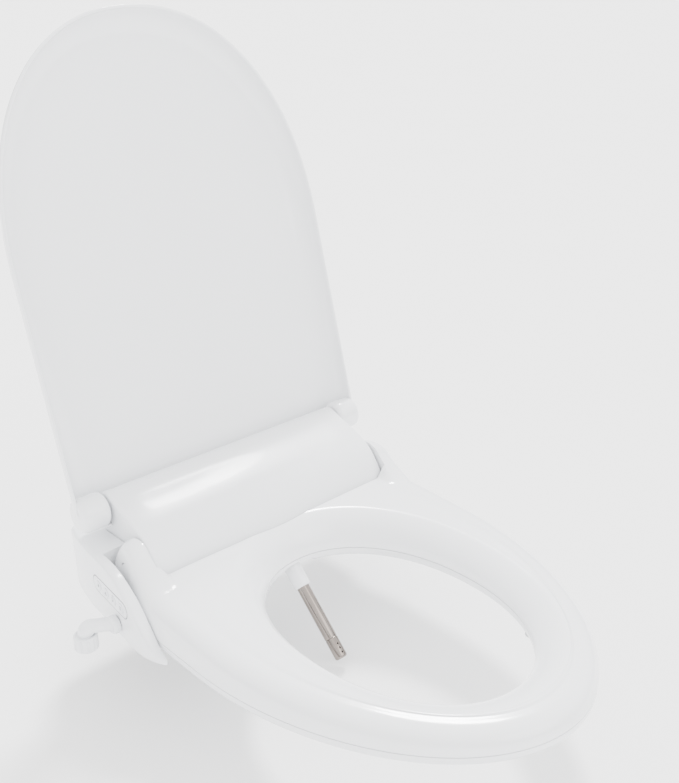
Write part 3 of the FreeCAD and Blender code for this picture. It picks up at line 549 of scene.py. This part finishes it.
# Directions in degrees: fine steps within a reach of each ear, coarse ones elsewhere.
EAR_DIRECTIONS = (38, 142)
EAR_DIRECTION_REACH = 20
FINE_STEP = 0.4
COARSE_STEP = 1.0
LAST_DIRECTION = 359.9
# What the ring leaves free for the housing, behind its ears and for the nozzle.
HOUSING_WINDOW = ((-156.2, -89.2, -20), (156.2, 90, 120))
BACK_TRIM = ((-230, -36.0, -20), (230, 90, 120))
NOZZLE_NOTCH = [(-140, -12), (-80, 48), (-80, -30), (-140, -30)]
NOZZLE_NOTCH_HALF = 24
# The lower shell's (height, setback) pairs, down its outside and up its inside.
BASE_OUTSIDE = ((19.3, 0.4), (18.9, 0.0), (14.0, 0.2), (12.0, 1.0), (10.8, 2.2), (10.0, 4.4))
BASE_INSIDE = ((10.0, 3.6), (10.7, 2.0), (12.0, 0.9), (14.0, 0.2), (18.9, 0.0), (19.3, 0.4))


def seat_angles():
    """Directions round the ring, closer together near the two ears."""
    angles = []
    angle = 0.0
    while angle < LAST_DIRECTION:
        angles.append(math.radians(angle))
        near = min(abs(angle - direction) for direction in EAR_DIRECTIONS)
        angle += FINE_STEP if near < EAR_DIRECTION_REACH else COARSE_STEP
    return angles


SEAT_ANGLES = seat_angles()


def oval(half, centre_y, front, rear, powers, inset):
    """Superelliptic outline, moved inwards along its own normals."""
    raw = []
    for angle in SEAT_ANGLES:
        c = math.cos(angle)
        s = math.sin(angle)
        depth, power = (front, powers[0]) if s < 0 else (rear, powers[1])
        r = (abs(c / half) ** power + abs(s / depth) ** power) ** (-1 / power)
        raw.append((r * c, centre_y + r * s))
    out = []
    n = len(raw)
    for i, (x, y) in enumerate(raw):
        dx = raw[(i + 1) % n][0] - raw[i - 1][0]
        dy = raw[(i + 1) % n][1] - raw[i - 1][1]
        length = math.hypot(dx, dy)
        out.append((x - inset * dy / length, y + inset * dx / length))
    return out


def seat_row(inset):
    """The ring's outline, drawn in a little where it passes beside the control arm."""
    row = []
    for x, y in oval(SEAT_HALF, SEAT_CENTRE_Y, SEAT_FRONT, SEAT_REAR, SEAT_POWERS, inset):
        row.append((x * (1.0 - SEAT_TAPER * smoothstep(*SEAT_TAPER_Y, y)), y))
    return row


def opening_row(setback):
    return oval(OPENING_HALF, OPENING_CENTRE_Y, OPENING_FRONT, OPENING_REAR, (OPENING_POWER,) * 2, -setback)


def seat_rise(y):
    """The seat's top climbs towards the back."""
    return SEAT_RISE * (y - SEAT_TIP_Y)


def ear_lift(x, y, inset):
    """How far the ears stand above the ring's own surface."""
    crest = PARTING_Z + SEAT_SKIN_DEPTH + seat_rise(y)
    if y >= EAR_FRONT_Y:
        back = max(EAR_RADIUS ** 2 - (y - EAR_Y) ** 2, 0.0)
        lift = EAR_Z + math.sqrt(back) - crest
    else:
        u = min((EAR_FRONT_Y - y) / EAR_BLEND, 1.0)
        lift = EAR_FOOT_HEIGHT * (1 - u) ** EAR_FOOT_POWER
    edge = min(inset / EAR_EDGE, 1.0)
    outer = (1 - (1 - edge) ** EAR_EDGE_POWER) ** (1 / EAR_EDGE_POWER)
    inner = smoothstep(*EAR_INNER_X, abs(x))
    return lift * outer * inner


def seat_section():
    """Rows of the upper shell from the outer parting line over the crest to the opening."""
    rows = []
    for a, u in quarter(SEAT_SKIN_STEPS, SEAT_SKIN_POWER):
        inset = SEAT_SKIN_REACH * a
        rows.append([(x, y, PARTING_Z + SEAT_SKIN_DEPTH * u + u * seat_rise(y) + ear_lift(x, y, inset))
                     for x, y in seat_row(inset)])
    outer = seat_row(SEAT_SKIN_REACH)
    inner = opening_row(OPENING_REACH)
    for k in range(1, SEAT_TOP_STEPS):
        t = k / SEAT_TOP_STEPS
        row = []
        for (x0, y0), (x1, y1) in zip(outer, inner):
            x = x0 + (x1 - x0) * t
            y = y0 + (y1 - y0) * t
            z = PARTING_Z + SEAT_SKIN_DEPTH + (OPENING_DEPTH - SEAT_SKIN_DEPTH) * t + seat_rise(y)
            z += SEAT_CROWN * math.sin(math.pi * t) ** 2
            row.append((x, y, z + ear_lift(x, y, SEAT_SKIN_REACH)))
        rows.append(row)
    for a, u in reversed(quarter(OPENING_SKIN_STEPS, OPENING_SKIN_POWER)):
        rows.append([(x, y, PARTING_Z + OPENING_DEPTH * u + u * seat_rise(y))
                     for x, y in opening_row(OPENING_REACH * a)])
    return rows


def finish_seat_shell(name, rows, replaced):
    shell = ring_object(name, rows, loop=True)
    boolean(shell, box_tool(*HOUSING_WINDOW))
    boolean(shell, box_tool(*BACK_TRIM))
    boolean(shell, prism_tool(NOZZLE_NOTCH, -NOZZLE_NOTCH_HALF, NOZZLE_NOTCH_HALF))
    finish_piece(shell, "seat", WHITE_SHELL, (replaced,))


def build_seat():
    rows = seat_section()
    rows[0] = [(x, y, PARTING_Z + PARTING_LIP) for x, y, _ in rows[0]]
    rows[-1] = [(x, y, PARTING_Z + PARTING_LIP) for x, y, _ in rows[-1]]
    rows.append([(x, y, PARTING_Z) for x, y in opening_row(PARTING_LIP)])
    rows.append([(x, y, PARTING_Z) for x, y in seat_row(PARTING_LIP)])
    finish_seat_shell("seat_top", rows, "seat_upper_shell")
    rows = [[(x, y, z) for x, y in seat_row(setback)] for z, setback in BASE_OUTSIDE]
    rows += [[(x, y, z) for x, y in opening_row(setback)] for z, setback in BASE_INSIDE]
    finish_seat_shell("seat_base", rows, "seat_lower_shell")


# --- housing ----------------------------------------------------------------------------
HOUSING_HALF = 154.0
HOUSING_WALL = 2.5
HOUSING_BACK = 42.0
HOUSING_FILLET = 2.4
HOUSING_FILLET_STEPS = 5
REAR_DECK_Z = 71.0
DECK_EDGE = 4.0
NECK_FILLET = 3.0
TRAY_Z = 6.0
TRAY_EDGE = 2.5
BOLSTER_RADIUS = 15.5
BOLSTER_SLOPE = math.radians(21.0)
BOLSTER_LEAD = 12.0
BOLSTER_LEAD_DROP = 0.3
BOLSTER_FACE = [(-52, 96), (-66, 87.5), (-78, 74), (-87, 58), (-88.5, 47), (-86, 36), (-84, 30)]
BOLSTER_FACE_STEPS = 12
BOLSTER_FOOT_Y = -84.0
# Cut through the cover: its open underside, the nozzle's window and the dryer's outlet.
HOUSING_OPENINGS = (
    ((-120, -60, -5), (120, 30, TRAY_Z + 5)),
    ((-12, -95, -5), (24.5, -70, 46)),
    ((56, -95, -5), (94, -70, 30)),
)


def bolster_profile():
    """Closed section of the housing, counterclockwise seen from +X."""
    ay, az = LID_HINGE
    neck_y = ay + BOLSTER_RADIUS * 0.5
    roll = arc_points(ay, az, BOLSTER_RADIUS, -60, 111, 40)
    crest = roll[-1]
    lead = (crest[0] - BOLSTER_LEAD * math.cos(BOLSTER_SLOPE),
            crest[1] - BOLSTER_LEAD * math.sin(BOLSTER_SLOPE) - BOLSTER_LEAD_DROP)
    face = curve_through([(y, z, 0) for y, z in [crest, lead] + BOLSTER_FACE], BOLSTER_FACE_STEPS)
    profile = roll[:-1] + [(p[0], p[1]) for p in face]
    profile += [(BOLSTER_FOOT_Y, 20.0)]
    profile += arc_points(BOLSTER_FOOT_Y + TRAY_EDGE, TRAY_Z + TRAY_EDGE, TRAY_EDGE, 180, 270, 4)
    profile += [(-40.0, TRAY_Z), (0.0, TRAY_Z)]
    profile += arc_points(HOUSING_BACK - TRAY_EDGE, TRAY_Z + TRAY_EDGE, TRAY_EDGE, -90, 0, 4)
    profile += [(HOUSING_BACK, 40.0)]
    profile += arc_points(HOUSING_BACK - DECK_EDGE, REAR_DECK_Z - DECK_EDGE, DECK_EDGE, 0, 90, 6)
    profile += [(25.0, REAR_DECK_Z)]
    profile += arc_points(neck_y + NECK_FILLET, REAR_DECK_Z + NECK_FILLET, NECK_FILLET, 270, 180, 5)
    profile += [(neck_y, 80.0)]
    return profile


def shrunk(profile, inset):
    """The closed profile moved inwards along its own normals."""
    out = []
    n = len(profile)
    for i, (y, z) in enumerate(profile):
        dy = profile[(i + 1) % n][0] - profile[i - 1][0]
        dz = profile[(i + 1) % n][1] - profile[i - 1][1]
        length = math.hypot(dy, dz)
        out.append((y - inset * dz / length, z + inset * dy / length))
    return out


def build_housing():
    profile = bolster_profile()
    ends = [(HOUSING_HALF - along, inset) for along, inset in rim_rounding(HOUSING_FILLET, HOUSING_FILLET_STEPS)]
    rings = [[(-x, y, z) for y, z in shrunk(profile, inset)] for x, inset in ends]
    rings += [[(x, y, z) for y, z in profile] for x in range(-120, 121, 40)]
    rings += [[(x, y, z) for y, z in shrunk(profile, inset)] for x, inset in reversed(ends)]
    cover = ring_object("housing_cover", rings)
    end = HOUSING_HALF - HOUSING_WALL
    boolean(cover, prism_tool(shrunk(profile, HOUSING_WALL), -end, end))
    for low, high in HOUSING_OPENINGS:
        boolean(cover, box_tool(low, high))
    finish_piece(cover, "housing", WHITE_BODY, ("bolster_cover",))


# --- control arm and end cap ------------------------------------------------------------
CASING_INNER_X = 154.2
CASING_BOTTOM = 3.0
CASING_TOP = 72.0
CASING_BACK_Y = 41.0
CASING_SHOULDER_Y = -32.0
CORNER_STEPS = 6
ARM_TOP = [(41, 72), (-10, 72), (-46, 72), (-60, 70.6), (-75, 66.6), (-97, 54), (-118, 34), (-138, 13), (-152, 7.5)]
ARM_TOP_PATH = curve_through([(y, z, 0) for y, z in ARM_TOP], 16)
ARM_RADII = (1.5, 1.2, 1.8, 4.5)
ARM_BACK_EDGE = 4.0
ARM_TIP_Y = -147.0
ARM_TIP_LENGTH = 3
ARM_TIP_EDGE = 1.5
ARM_EDGE_STEPS = 6
# The outer face at the back, where it is nearly full, where the nose starts, and its cubic there.
ARM_OUTER_BACK_X = -178.0
ARM_OUTER_WIDE_X = -190.5
ARM_OUTER_NOSE_X = -198.5
ARM_WIDE_Y = -20.0
ARM_NOSE_Y = -100.0
ARM_NOSE_CUBIC = (-4.7, 6.8, 5.9)
# The inner face beside the seat's ear: where it starts, how far it moves out, over what length.
ARM_BEND_Y = -80.0
ARM_INNER_EAR = (-181.2, 3.7, 48.0)
ARM_INNER_NOSE = (-184.9, 2.5, 63.0)
CAP_OUTER_X = 180.0
CAP_EDGE = 6.0
CAP_RADII = (0.8, 1.5, 4.0, 1.2)
RELEASE_WINDOW = ((170, -6.5, 23.5), (190, 16.5, 36.5))


def loft_along_y(name, stations):
    """Rounded rectangles (y, x0, x1, z0, z1, radii of the corners from low-low, counterclockwise)."""
    rings = []
    for y, x0, x1, z0, z1, radii in stations:
        limit = 0.49 * min(x1 - x0, z1 - z0)
        ring = []
        corners = ((x0, z0, 1, 1, 180), (x1, z0, -1, 1, 270), (x1, z1, -1, -1, 0), (x0, z1, 1, -1, 90))
        for (cx, cz, sx, sz, start), radius in zip(corners, radii):
            r = min(radius, limit)
            arc = arc_points(cx + sx * r, cz + sz * r, r, start, start + 90, CORNER_STEPS)
            ring += [(x, y, z) for x, z in arc]
        rings.append(ring)
    return ring_object(name, rings)


def arm_top(y):
    for (y0, z0, _), (y1, z1, _) in zip(ARM_TOP_PATH, ARM_TOP_PATH[1:]):
        if y1 <= y <= y0:
            return z0 + (z1 - z0) * (y0 - y) / (y0 - y1)
    return ARM_TOP_PATH[-1][1]


def arm_outer(y):
    if y > ARM_WIDE_Y:
        u = (CASING_BACK_Y - y) / (CASING_BACK_Y - ARM_WIDE_Y)
        return ARM_OUTER_BACK_X - (ARM_OUTER_BACK_X - ARM_OUTER_WIDE_X) * (u + 0.5 * u * (1 - u))
    if y > ARM_NOSE_Y:
        return ARM_OUTER_WIDE_X - (ARM_OUTER_WIDE_X - ARM_OUTER_NOSE_X) * (ARM_WIDE_Y - y) / (ARM_WIDE_Y - ARM_NOSE_Y)
    v = (ARM_NOSE_Y - y) / (ARM_NOSE_Y - ARM_TIP_Y)
    a, b, c = ARM_NOSE_CUBIC
    return ARM_OUTER_NOSE_X + a * v + b * v ** 2 + c * v ** 3


def arm_inner(y):
    if y > CASING_SHOULDER_Y:
        return -CASING_INNER_X
    if y > ARM_BEND_Y:
        start, out, length = ARM_INNER_EAR
        return start - out * (CASING_SHOULDER_Y - y) / length
    start, out, length = ARM_INNER_NOSE
    return start - out * (ARM_BEND_Y - y) / length


def arm_station(y, shrink=0.0):
    x0 = arm_outer(y) + shrink
    x1 = arm_inner(y) - shrink
    return (y, x0, x1, CASING_BOTTOM + shrink, arm_top(y) - shrink, ARM_RADII)


def down_from(y, limit, step):
    """Values from y down, by steps, as long as they are above the limit."""
    while y > limit:
        yield y
        y -= step


def build_arm():
    back = rim_rounding(ARM_BACK_EDGE, ARM_EDGE_STEPS)
    stations = [arm_station(CASING_BACK_Y - along, inset) for along, inset in back]
    stations += [arm_station(y) for y in down_from(CASING_BACK_Y - 6, CASING_SHOULDER_Y + 3, 3.0)]
    stations += [arm_station(CASING_SHOULDER_Y + 0.8), arm_station(CASING_SHOULDER_Y)]
    stations += [arm_station(y) for y in down_from(CASING_SHOULDER_Y - 2.0, ARM_TIP_Y + 3.2, 1.5)]
    for k in range(1, ARM_EDGE_STEPS + 1):
        angle = math.pi / 2 * k / ARM_EDGE_STEPS
        y = ARM_TIP_Y + ARM_TIP_LENGTH - ARM_TIP_LENGTH * math.sin(angle)
        stations.append(arm_station(y, ARM_TIP_EDGE * (1 - math.cos(angle))))
    arm = loft_along_y("arm", stations)
    finish_piece(arm, "housing", WHITE_BODY, ("arm_casing",))


def cap_station(y, inset):
    return (y, CASING_INNER_X, CAP_OUTER_X - inset, CASING_BOTTOM, CASING_TOP - inset * 0.5, CAP_RADII)


def build_end_cap():
    rounding = rim_rounding(CAP_EDGE, CORNER_STEPS)
    stations = [cap_station(CASING_BACK_Y - along, inset) for along, inset in rounding]
    stations += [cap_station(CASING_SHOULDER_Y + along, inset) for along, inset in reversed(rounding)]
    cap = loft_along_y("end_cap", stations)
    boolean(cap, box_tool(*RELEASE_WINDOW))
    finish_piece(cap, "housing", WHITE_BODY, ("right_end_cap",))


# --- control pad ------------------------------------------------------------------------
PAD_CENTRE = Vector((-194.5, -60.0, 41.0))
PAD_ANGLE = math.atan2(8.0, 80.0)
PAD_ALONG = Vector((-math.sin(PAD_ANGLE), -math.cos(PAD_ANGLE), 0.0))
PAD_OUT = Vector((-math.cos(PAD_ANGLE), math.sin(PAD_ANGLE), 0.0))
PAD_LENGTH = 75.0
PAD_HEIGHT = 17.0
# The dark ring's section, a painted shade line in the gap round the pad: growth over the pad's size, and how far it
# stands out.
PAD_GAP_SHADE_SECTION = ((0.1, -1.5), (2.4, -1.5), (2.4, 0.02), (2.1, 0.1), (0.4, 0.1), (0.1, 0.02))
BUTTON_PITCH = 16.5
BUTTON_FACE = 0.8
ICON_LINE = 0.45
WAVE_LINE = 0.42


def pad_point(along, up, out):
    return tuple(PAD_CENTRE + PAD_ALONG * along + Vector((0, 0, up)) + PAD_OUT * out)


def capsule(length, height, out):
    reach = (length - height) / 2
    ring = []
    for side, start in ((1, -90), (-1, 90)):
        arc = arc_points(side * reach, 0.0, height / 2, start, start + 180, 24)
        ring += [pad_point(along, up, out) for along, up in arc]
    return ring


def build_pad_gap_painted_shade():
    # A thin dark ring round the pad: painted shade of the gap between the pad and the arm.
    rings = [capsule(PAD_LENGTH + growth, PAD_HEIGHT + growth, out) for growth, out in PAD_GAP_SHADE_SECTION]
    gap_shade = ring_object("pad_gap_painted_shade", rings, loop=True)
    finish_piece(gap_shade, "housing", PAD_GAP_PAINTED_SHADE)


def stroke(points, width):
    """Flat ribbon along (along, up) points on a button's face."""
    left = []
    right = []
    n = len(points)
    for i, (a, u) in enumerate(points):
        a0, u0 = points[max(i - 1, 0)]
        a1, u1 = points[min(i + 1, n - 1)]
        length = math.hypot(a1 - a0, u1 - u0)
        na = -(u1 - u0) / length * width / 2
        nu = (a1 - a0) / length * width / 2
        left.append((a + na, u + nu))
        right.append((a - na, u - nu))
    return left + right[::-1]


def icon_shapes():
    """Plain symbols, one list of outlines per button: stop, rear wash, front wash, dryer."""
    drop = arc_points(0.0, -0.7, 1.1, -215, 35, 14) + [(0.0, 1.9)]
    bowl = stroke(arc_points(0.0, 0.2, 2.9, 200, 340, 14), ICON_LINE)
    roof = stroke(arc_points(0.0, 0.2, 2.9, 20, 160, 14), ICON_LINE)
    waves = [stroke([(-2.2 + 0.22 * i, up + 0.45 * math.sin(i * 0.63)) for i in range(21)], WAVE_LINE)
             for up in (-1.5, 0.0, 1.5)]
    return {
        "button_stop": [[(-1.5, -1.5), (1.5, -1.5), (1.5, 1.5), (-1.5, 1.5)]],
        "button_rear_wash": [drop, bowl],
        "button_front_wash": [drop, roof],
        "button_dryer": waves,
    }


def build_icons():
    for i, (body, outlines) in enumerate(icon_shapes().items()):
        centre = (i - 1.5) * BUTTON_PITCH
        verts = []
        faces = []
        for outline in outlines:
            flat, quads = stack([[pad_point(centre - a, u, out) for a, u in outline]
                                 for out in (BUTTON_FACE - 0.1, BUTTON_FACE + 0.04)])
            faces += [tuple(v + len(verts) for v in face) for face in quads]
            verts += flat
        icon = mesh_object(body + "_icon", verts, faces)
        finish_piece(icon, body, ICON_INK)


# --- water inlet ------------------------------------------------------------------------
INLET = Vector((-197.0, -72.0, 17.0))
DOWN = Vector((0, 0, -1))
COLLAR_OVERLAP = 0.1
COLLAR_PROFILE = ((0.0, 8.6), (0.2, 9.2), (0.8, 9.5), (4.6, 9.5), (5.8, 9.2), (6.6, 8.5), (7.0, 7.6), (7.2, 6.0))
ELBOW_YAW = math.radians(32.0)
ELBOW_DIRECTION = Vector((-math.cos(ELBOW_YAW), math.sin(ELBOW_YAW), 0.0))
ELBOW_END = INLET + ELBOW_DIRECTION * 31.0
ELBOW_START = 3.0
ELBOW_BEND = 9.0
ELBOW_RADIUS = 7.0
ELBOW_ROOT_FLARE = 0.6
ELBOW_HEEL = 1.2
# Below the bend: drop under the elbow's axis, and radius.
SPIGOT = ((10.5, 6.9), (12, 6.5), (14, 6.4), (20.2, 6.4), (20.8, 6.1), (21.0, 5.6))
NUT_DROP = 8.5
NUT_LENGTH = 16.0
NUT_OUTSIDE = [(0.0, 9.7), (0.0, 10.6), (0.3, 11.2), (1.0, 11.7), (2.0, 12.0)]
NUT_OUTSIDE += [(float(k), 12.0) for k in range(3, 14)]
NUT_OUTSIDE += [(14.2, 11.9), (15.2, 11.5), (15.8, 10.9), (16.0, 10.2)]
NUT_BORE = [(16.0, 5.2), (13.0, 5.2), (13.0, 6.45), (0.8, 6.45), (0.8, 9.3)]
NUT_STEPS = 120
FLUTE_COUNT = 10
FLUTE_DEPTH = 1.5


def build_inlet():
    out = Vector((-1, 0, 0))
    across = out.orthogonal().normalized()
    collar = lathe("inlet_collar", INLET + out * COLLAR_OVERLAP, (out, across, out.cross(across)),
                   COLLAR_PROFILE, 64)
    finish_piece(collar, "housing", WHITE_BODY)
    side = ELBOW_DIRECTION.cross(DOWN)
    bend_start = ELBOW_END - ELBOW_DIRECTION * ELBOW_BEND
    bend_centre = bend_start + DOWN * ELBOW_BEND
    straight = (bend_start - INLET).dot(ELBOW_DIRECTION)
    rings = []
    for k in range(9):
        centre = INLET + ELBOW_DIRECTION * (ELBOW_START + straight * k / 8 - ELBOW_START * k / 8)
        radius = ELBOW_RADIUS + ELBOW_ROOT_FLARE * smoothstep(0, 1, 1 - k / 4)
        rings.append(ring_about(centre, side, DOWN, radius, 48))
    for k in range(1, 17):
        angle = math.pi / 2 * k / 16
        outward = ELBOW_DIRECTION * math.sin(angle) - DOWN * math.cos(angle)
        radius = ELBOW_RADIUS + ELBOW_HEEL * math.sin(math.pi * k / 16)
        rings.append(ring_about(bend_centre + outward * ELBOW_BEND, side, -outward, radius, 48))
    for drop, radius in SPIGOT:
        rings.append(ring_about(ELBOW_END + DOWN * drop, side, -ELBOW_DIRECTION, radius, 48))
    elbow = ring_object("inlet_elbow_tube", rings)
    finish_piece(elbow, "housing", WHITE_BODY, ("inlet_elbow",))


def nut_flute(angle, distance):
    """Scallops round the nut, fading out at its rims."""
    wave = max(0.0, math.cos(FLUTE_COUNT * angle)) ** 0.8
    return (FLUTE_DEPTH * wave * smoothstep(0.8, 2.6, distance)
            * smoothstep(0.6, 2.2, NUT_LENGTH - distance))


def build_nut():
    top = ELBOW_END + DOWN * NUT_DROP
    first = Vector((1, 0, 0))
    second = DOWN.cross(first)
    rings = []
    for index, (distance, radius) in enumerate(NUT_OUTSIDE + NUT_BORE):
        ring = []
        for k in range(NUT_STEPS):
            angle = 2 * math.pi * k / NUT_STEPS
            r = radius - (nut_flute(angle, distance) if index < len(NUT_OUTSIDE) else 0.0)
            ring.append(tuple(top + DOWN * distance + first * (r * math.cos(angle)) + second * (r * math.sin(angle))))
        rings.append(ring)
    nut = ring_object("inlet_nut", rings, loop=True)
    finish_piece(nut, "inlet_nut", WHITE_BODY, ("union_nut",))


# --- nozzle -----------------------------------------------------------------------------
NOZZLE_MOUTH = Vector((0.0, -98.0, 13.0))
TILT = math.radians(45.0)
NOZZLE_OUT = Vector((0.0, -math.cos(TILT), -math.sin(TILT)))
NOZZLE_UP = Vector((0.0, -math.sin(TILT), math.cos(TILT)))
NOZZLE_SIDE = Vector((1.0, 0.0, 0.0))
NOZZLE_AXES = (NOZZLE_OUT, NOZZLE_SIDE, NOZZLE_UP)
NOZZLE_RADIUS = 7.0
NOZZLE_LENGTH = 120
NOZZLE_STEPS = 72
# Distance from the mouth, and how far inside the nozzle's radius.
TUBE_SECTION = ((-40, 1), (-40, 0.3), (-39.7, 0), (60, 0), (95.2, 0), (95.6, 0.15), (95.9, 0.5), (95.9, 1))
TIP_SECTION = ((88, 1.15), (96.05, 1.15), (96.05, 0.5), (96.3, 0.15), (96.7, 0), (110, 0), (117.4, 0),
               (118.4, 0.25), (119.2, 0.8), (119.7, 1.6), (119.95, 2.6), (120, 4))
# Spray holes: distances from the tip, and the (height above the axis, radius) of their tool.
SPRAY_HOLES = (6, 11, 16)
SPRAY_TOOL = ((4.5, 0.9), (6.6, 0.9), (7.4, 1.5))
GUARD_OUTER = NOZZLE_RADIUS + 2.4
GUARD_BORE = NOZZLE_RADIUS + 0.5
GUARD_SECTION = ((-18, GUARD_BORE), (-18, GUARD_OUTER), (29, GUARD_OUTER), (31, GUARD_OUTER - 0.2),
                 (32.4, GUARD_OUTER - 0.7), (33, GUARD_OUTER - 1.5), (33, GUARD_BORE + 0.3), (32.6, GUARD_BORE))


def wand_piece(name, section, loop=False):
    profile = [(distance, NOZZLE_RADIUS - inset) for distance, inset in section]
    return lathe(name, NOZZLE_MOUTH, NOZZLE_AXES, profile, NOZZLE_STEPS, loop)


def build_nozzle():
    tube = wand_piece("wand_tube", TUBE_SECTION, loop=True)
    finish_piece(tube, "nozzle", STEEL, ("nozzle_tube",))
    tip = wand_piece("wand_tip", TIP_SECTION)
    for from_tip in SPRAY_HOLES:
        base = NOZZLE_MOUTH + NOZZLE_OUT * (NOZZLE_LENGTH - from_tip)
        boolean(tip, ring_object("tool", [ring_about(base + NOZZLE_UP * height, NOZZLE_SIDE, NOZZLE_OUT, radius, 20)
                                          for height, radius in SPRAY_TOOL]))
    finish_piece(tip, "nozzle", STEEL, ("nozzle_tip",))
    guard = lathe("wand_guard", NOZZLE_MOUTH, NOZZLE_AXES, GUARD_SECTION, NOZZLE_STEPS, loop=True)
    finish_piece(guard, "housing", WHITE_BODY, ("nozzle_guard",))


# --- what stays from the CAD model ------------------------------------------------------

def dress_nodes():
    for name, material in NODE_FINISH.items():
        mesh = NODES[name].data
        mesh.materials.clear()
        mesh.materials.append(material)
        for face in mesh.polygons:
            face.material_index = 0


# --- studio -----------------------------------------------------------------------------
FLOOR_Z = -84.0
FLOOR_HALF = 60000.0
FLOOR_COLOURS = ((0.90, 0.90, 0.90), (0.91, 0.91, 0.91))
SKY_STRENGTH = 2.9
# Reflections see a sky that is darker below; everything else sees plain white.
SKY_LOW = (0.0, (0.30, 0.31, 0.33, 1.0))
SKY_HIGH = (0.55, (1.0, 1.0, 1.0, 1.0))
# Name, place, angular size in degrees and strength of each sun.
SUNS = (("key", (900, 500, 1700), 12.0, 5.0), ("front", (300, -2200, 1300), 40.0, 1.0))
SUN_TARGET = (0, -150, 100)


def build_floor():
    corners = [(-FLOOR_HALF, -FLOOR_HALF, FLOOR_Z), (FLOOR_HALF, -FLOOR_HALF, FLOOR_Z),
               (FLOOR_HALF, FLOOR_HALF, FLOOR_Z), (-FLOOR_HALF, FLOOR_HALF, FLOOR_Z)]
    floor = mesh_object("floor", corners, [(0, 1, 2, 3)])
    material, tree, shader, place = new_material("studio_floor")
    vary_colour(tree, shader, noise_node(tree, place, 3.0), *FLOOR_COLOURS)
    shader.inputs["Roughness"].default_value = 0.9
    shader.inputs["Specular IOR Level"].default_value = 0.1
    floor.data.materials.append(material)


def build_sky():
    world = bpy.data.worlds.new("studio")
    world.use_nodes = True
    bpy.context.scene.world = world
    nodes = world.node_tree.nodes
    links = world.node_tree.links
    coordinates = nodes.new("ShaderNodeTexCoord")
    split = nodes.new("ShaderNodeSeparateXYZ")
    ramp = nodes.new("ShaderNodeValToRGB")
    for element, (position, colour) in zip(ramp.color_ramp.elements, (SKY_LOW, SKY_HIGH)):
        element.position = position
        element.color = colour
    graded = nodes["Background"]
    graded.inputs["Strength"].default_value = SKY_STRENGTH
    plain = nodes.new("ShaderNodeBackground")
    plain.inputs["Color"].default_value = (1.0, 1.0, 1.0, 1.0)
    plain.inputs["Strength"].default_value = SKY_STRENGTH
    path = nodes.new("ShaderNodeLightPath")
    choose = nodes.new("ShaderNodeMixShader")
    links.new(coordinates.outputs["Generated"], split.inputs["Vector"])
    links.new(split.outputs["Z"], ramp.inputs["Fac"])
    links.new(ramp.outputs["Color"], graded.inputs["Color"])
    links.new(path.outputs["Is Glossy Ray"], choose.inputs["Fac"])
    links.new(plain.outputs["Background"], choose.inputs[1])
    links.new(graded.outputs["Background"], choose.inputs[2])
    links.new(choose.outputs["Shader"], nodes["World Output"].inputs["Surface"])


def build_suns():
    for name, place, angle, power in SUNS:
        data = bpy.data.lights.new(name, "SUN")
        data.angle = math.radians(angle)
        data.energy = power
        lamp = bpy.data.objects.new(name, data)
        bpy.context.scene.collection.objects.link(lamp)
        lamp.location = Vector(place) * MM
        aim = Vector(SUN_TARGET) * MM - lamp.location
        lamp.rotation_euler = aim.to_track_quat("-Z", "Y").to_euler()


build_lid()
build_seat()
build_housing()
build_arm()
build_end_cap()
build_pad_gap_painted_shade()
build_icons()
build_inlet()
build_nut()
build_nozzle()
dress_nodes()
build_floor()
build_sky()
build_suns()
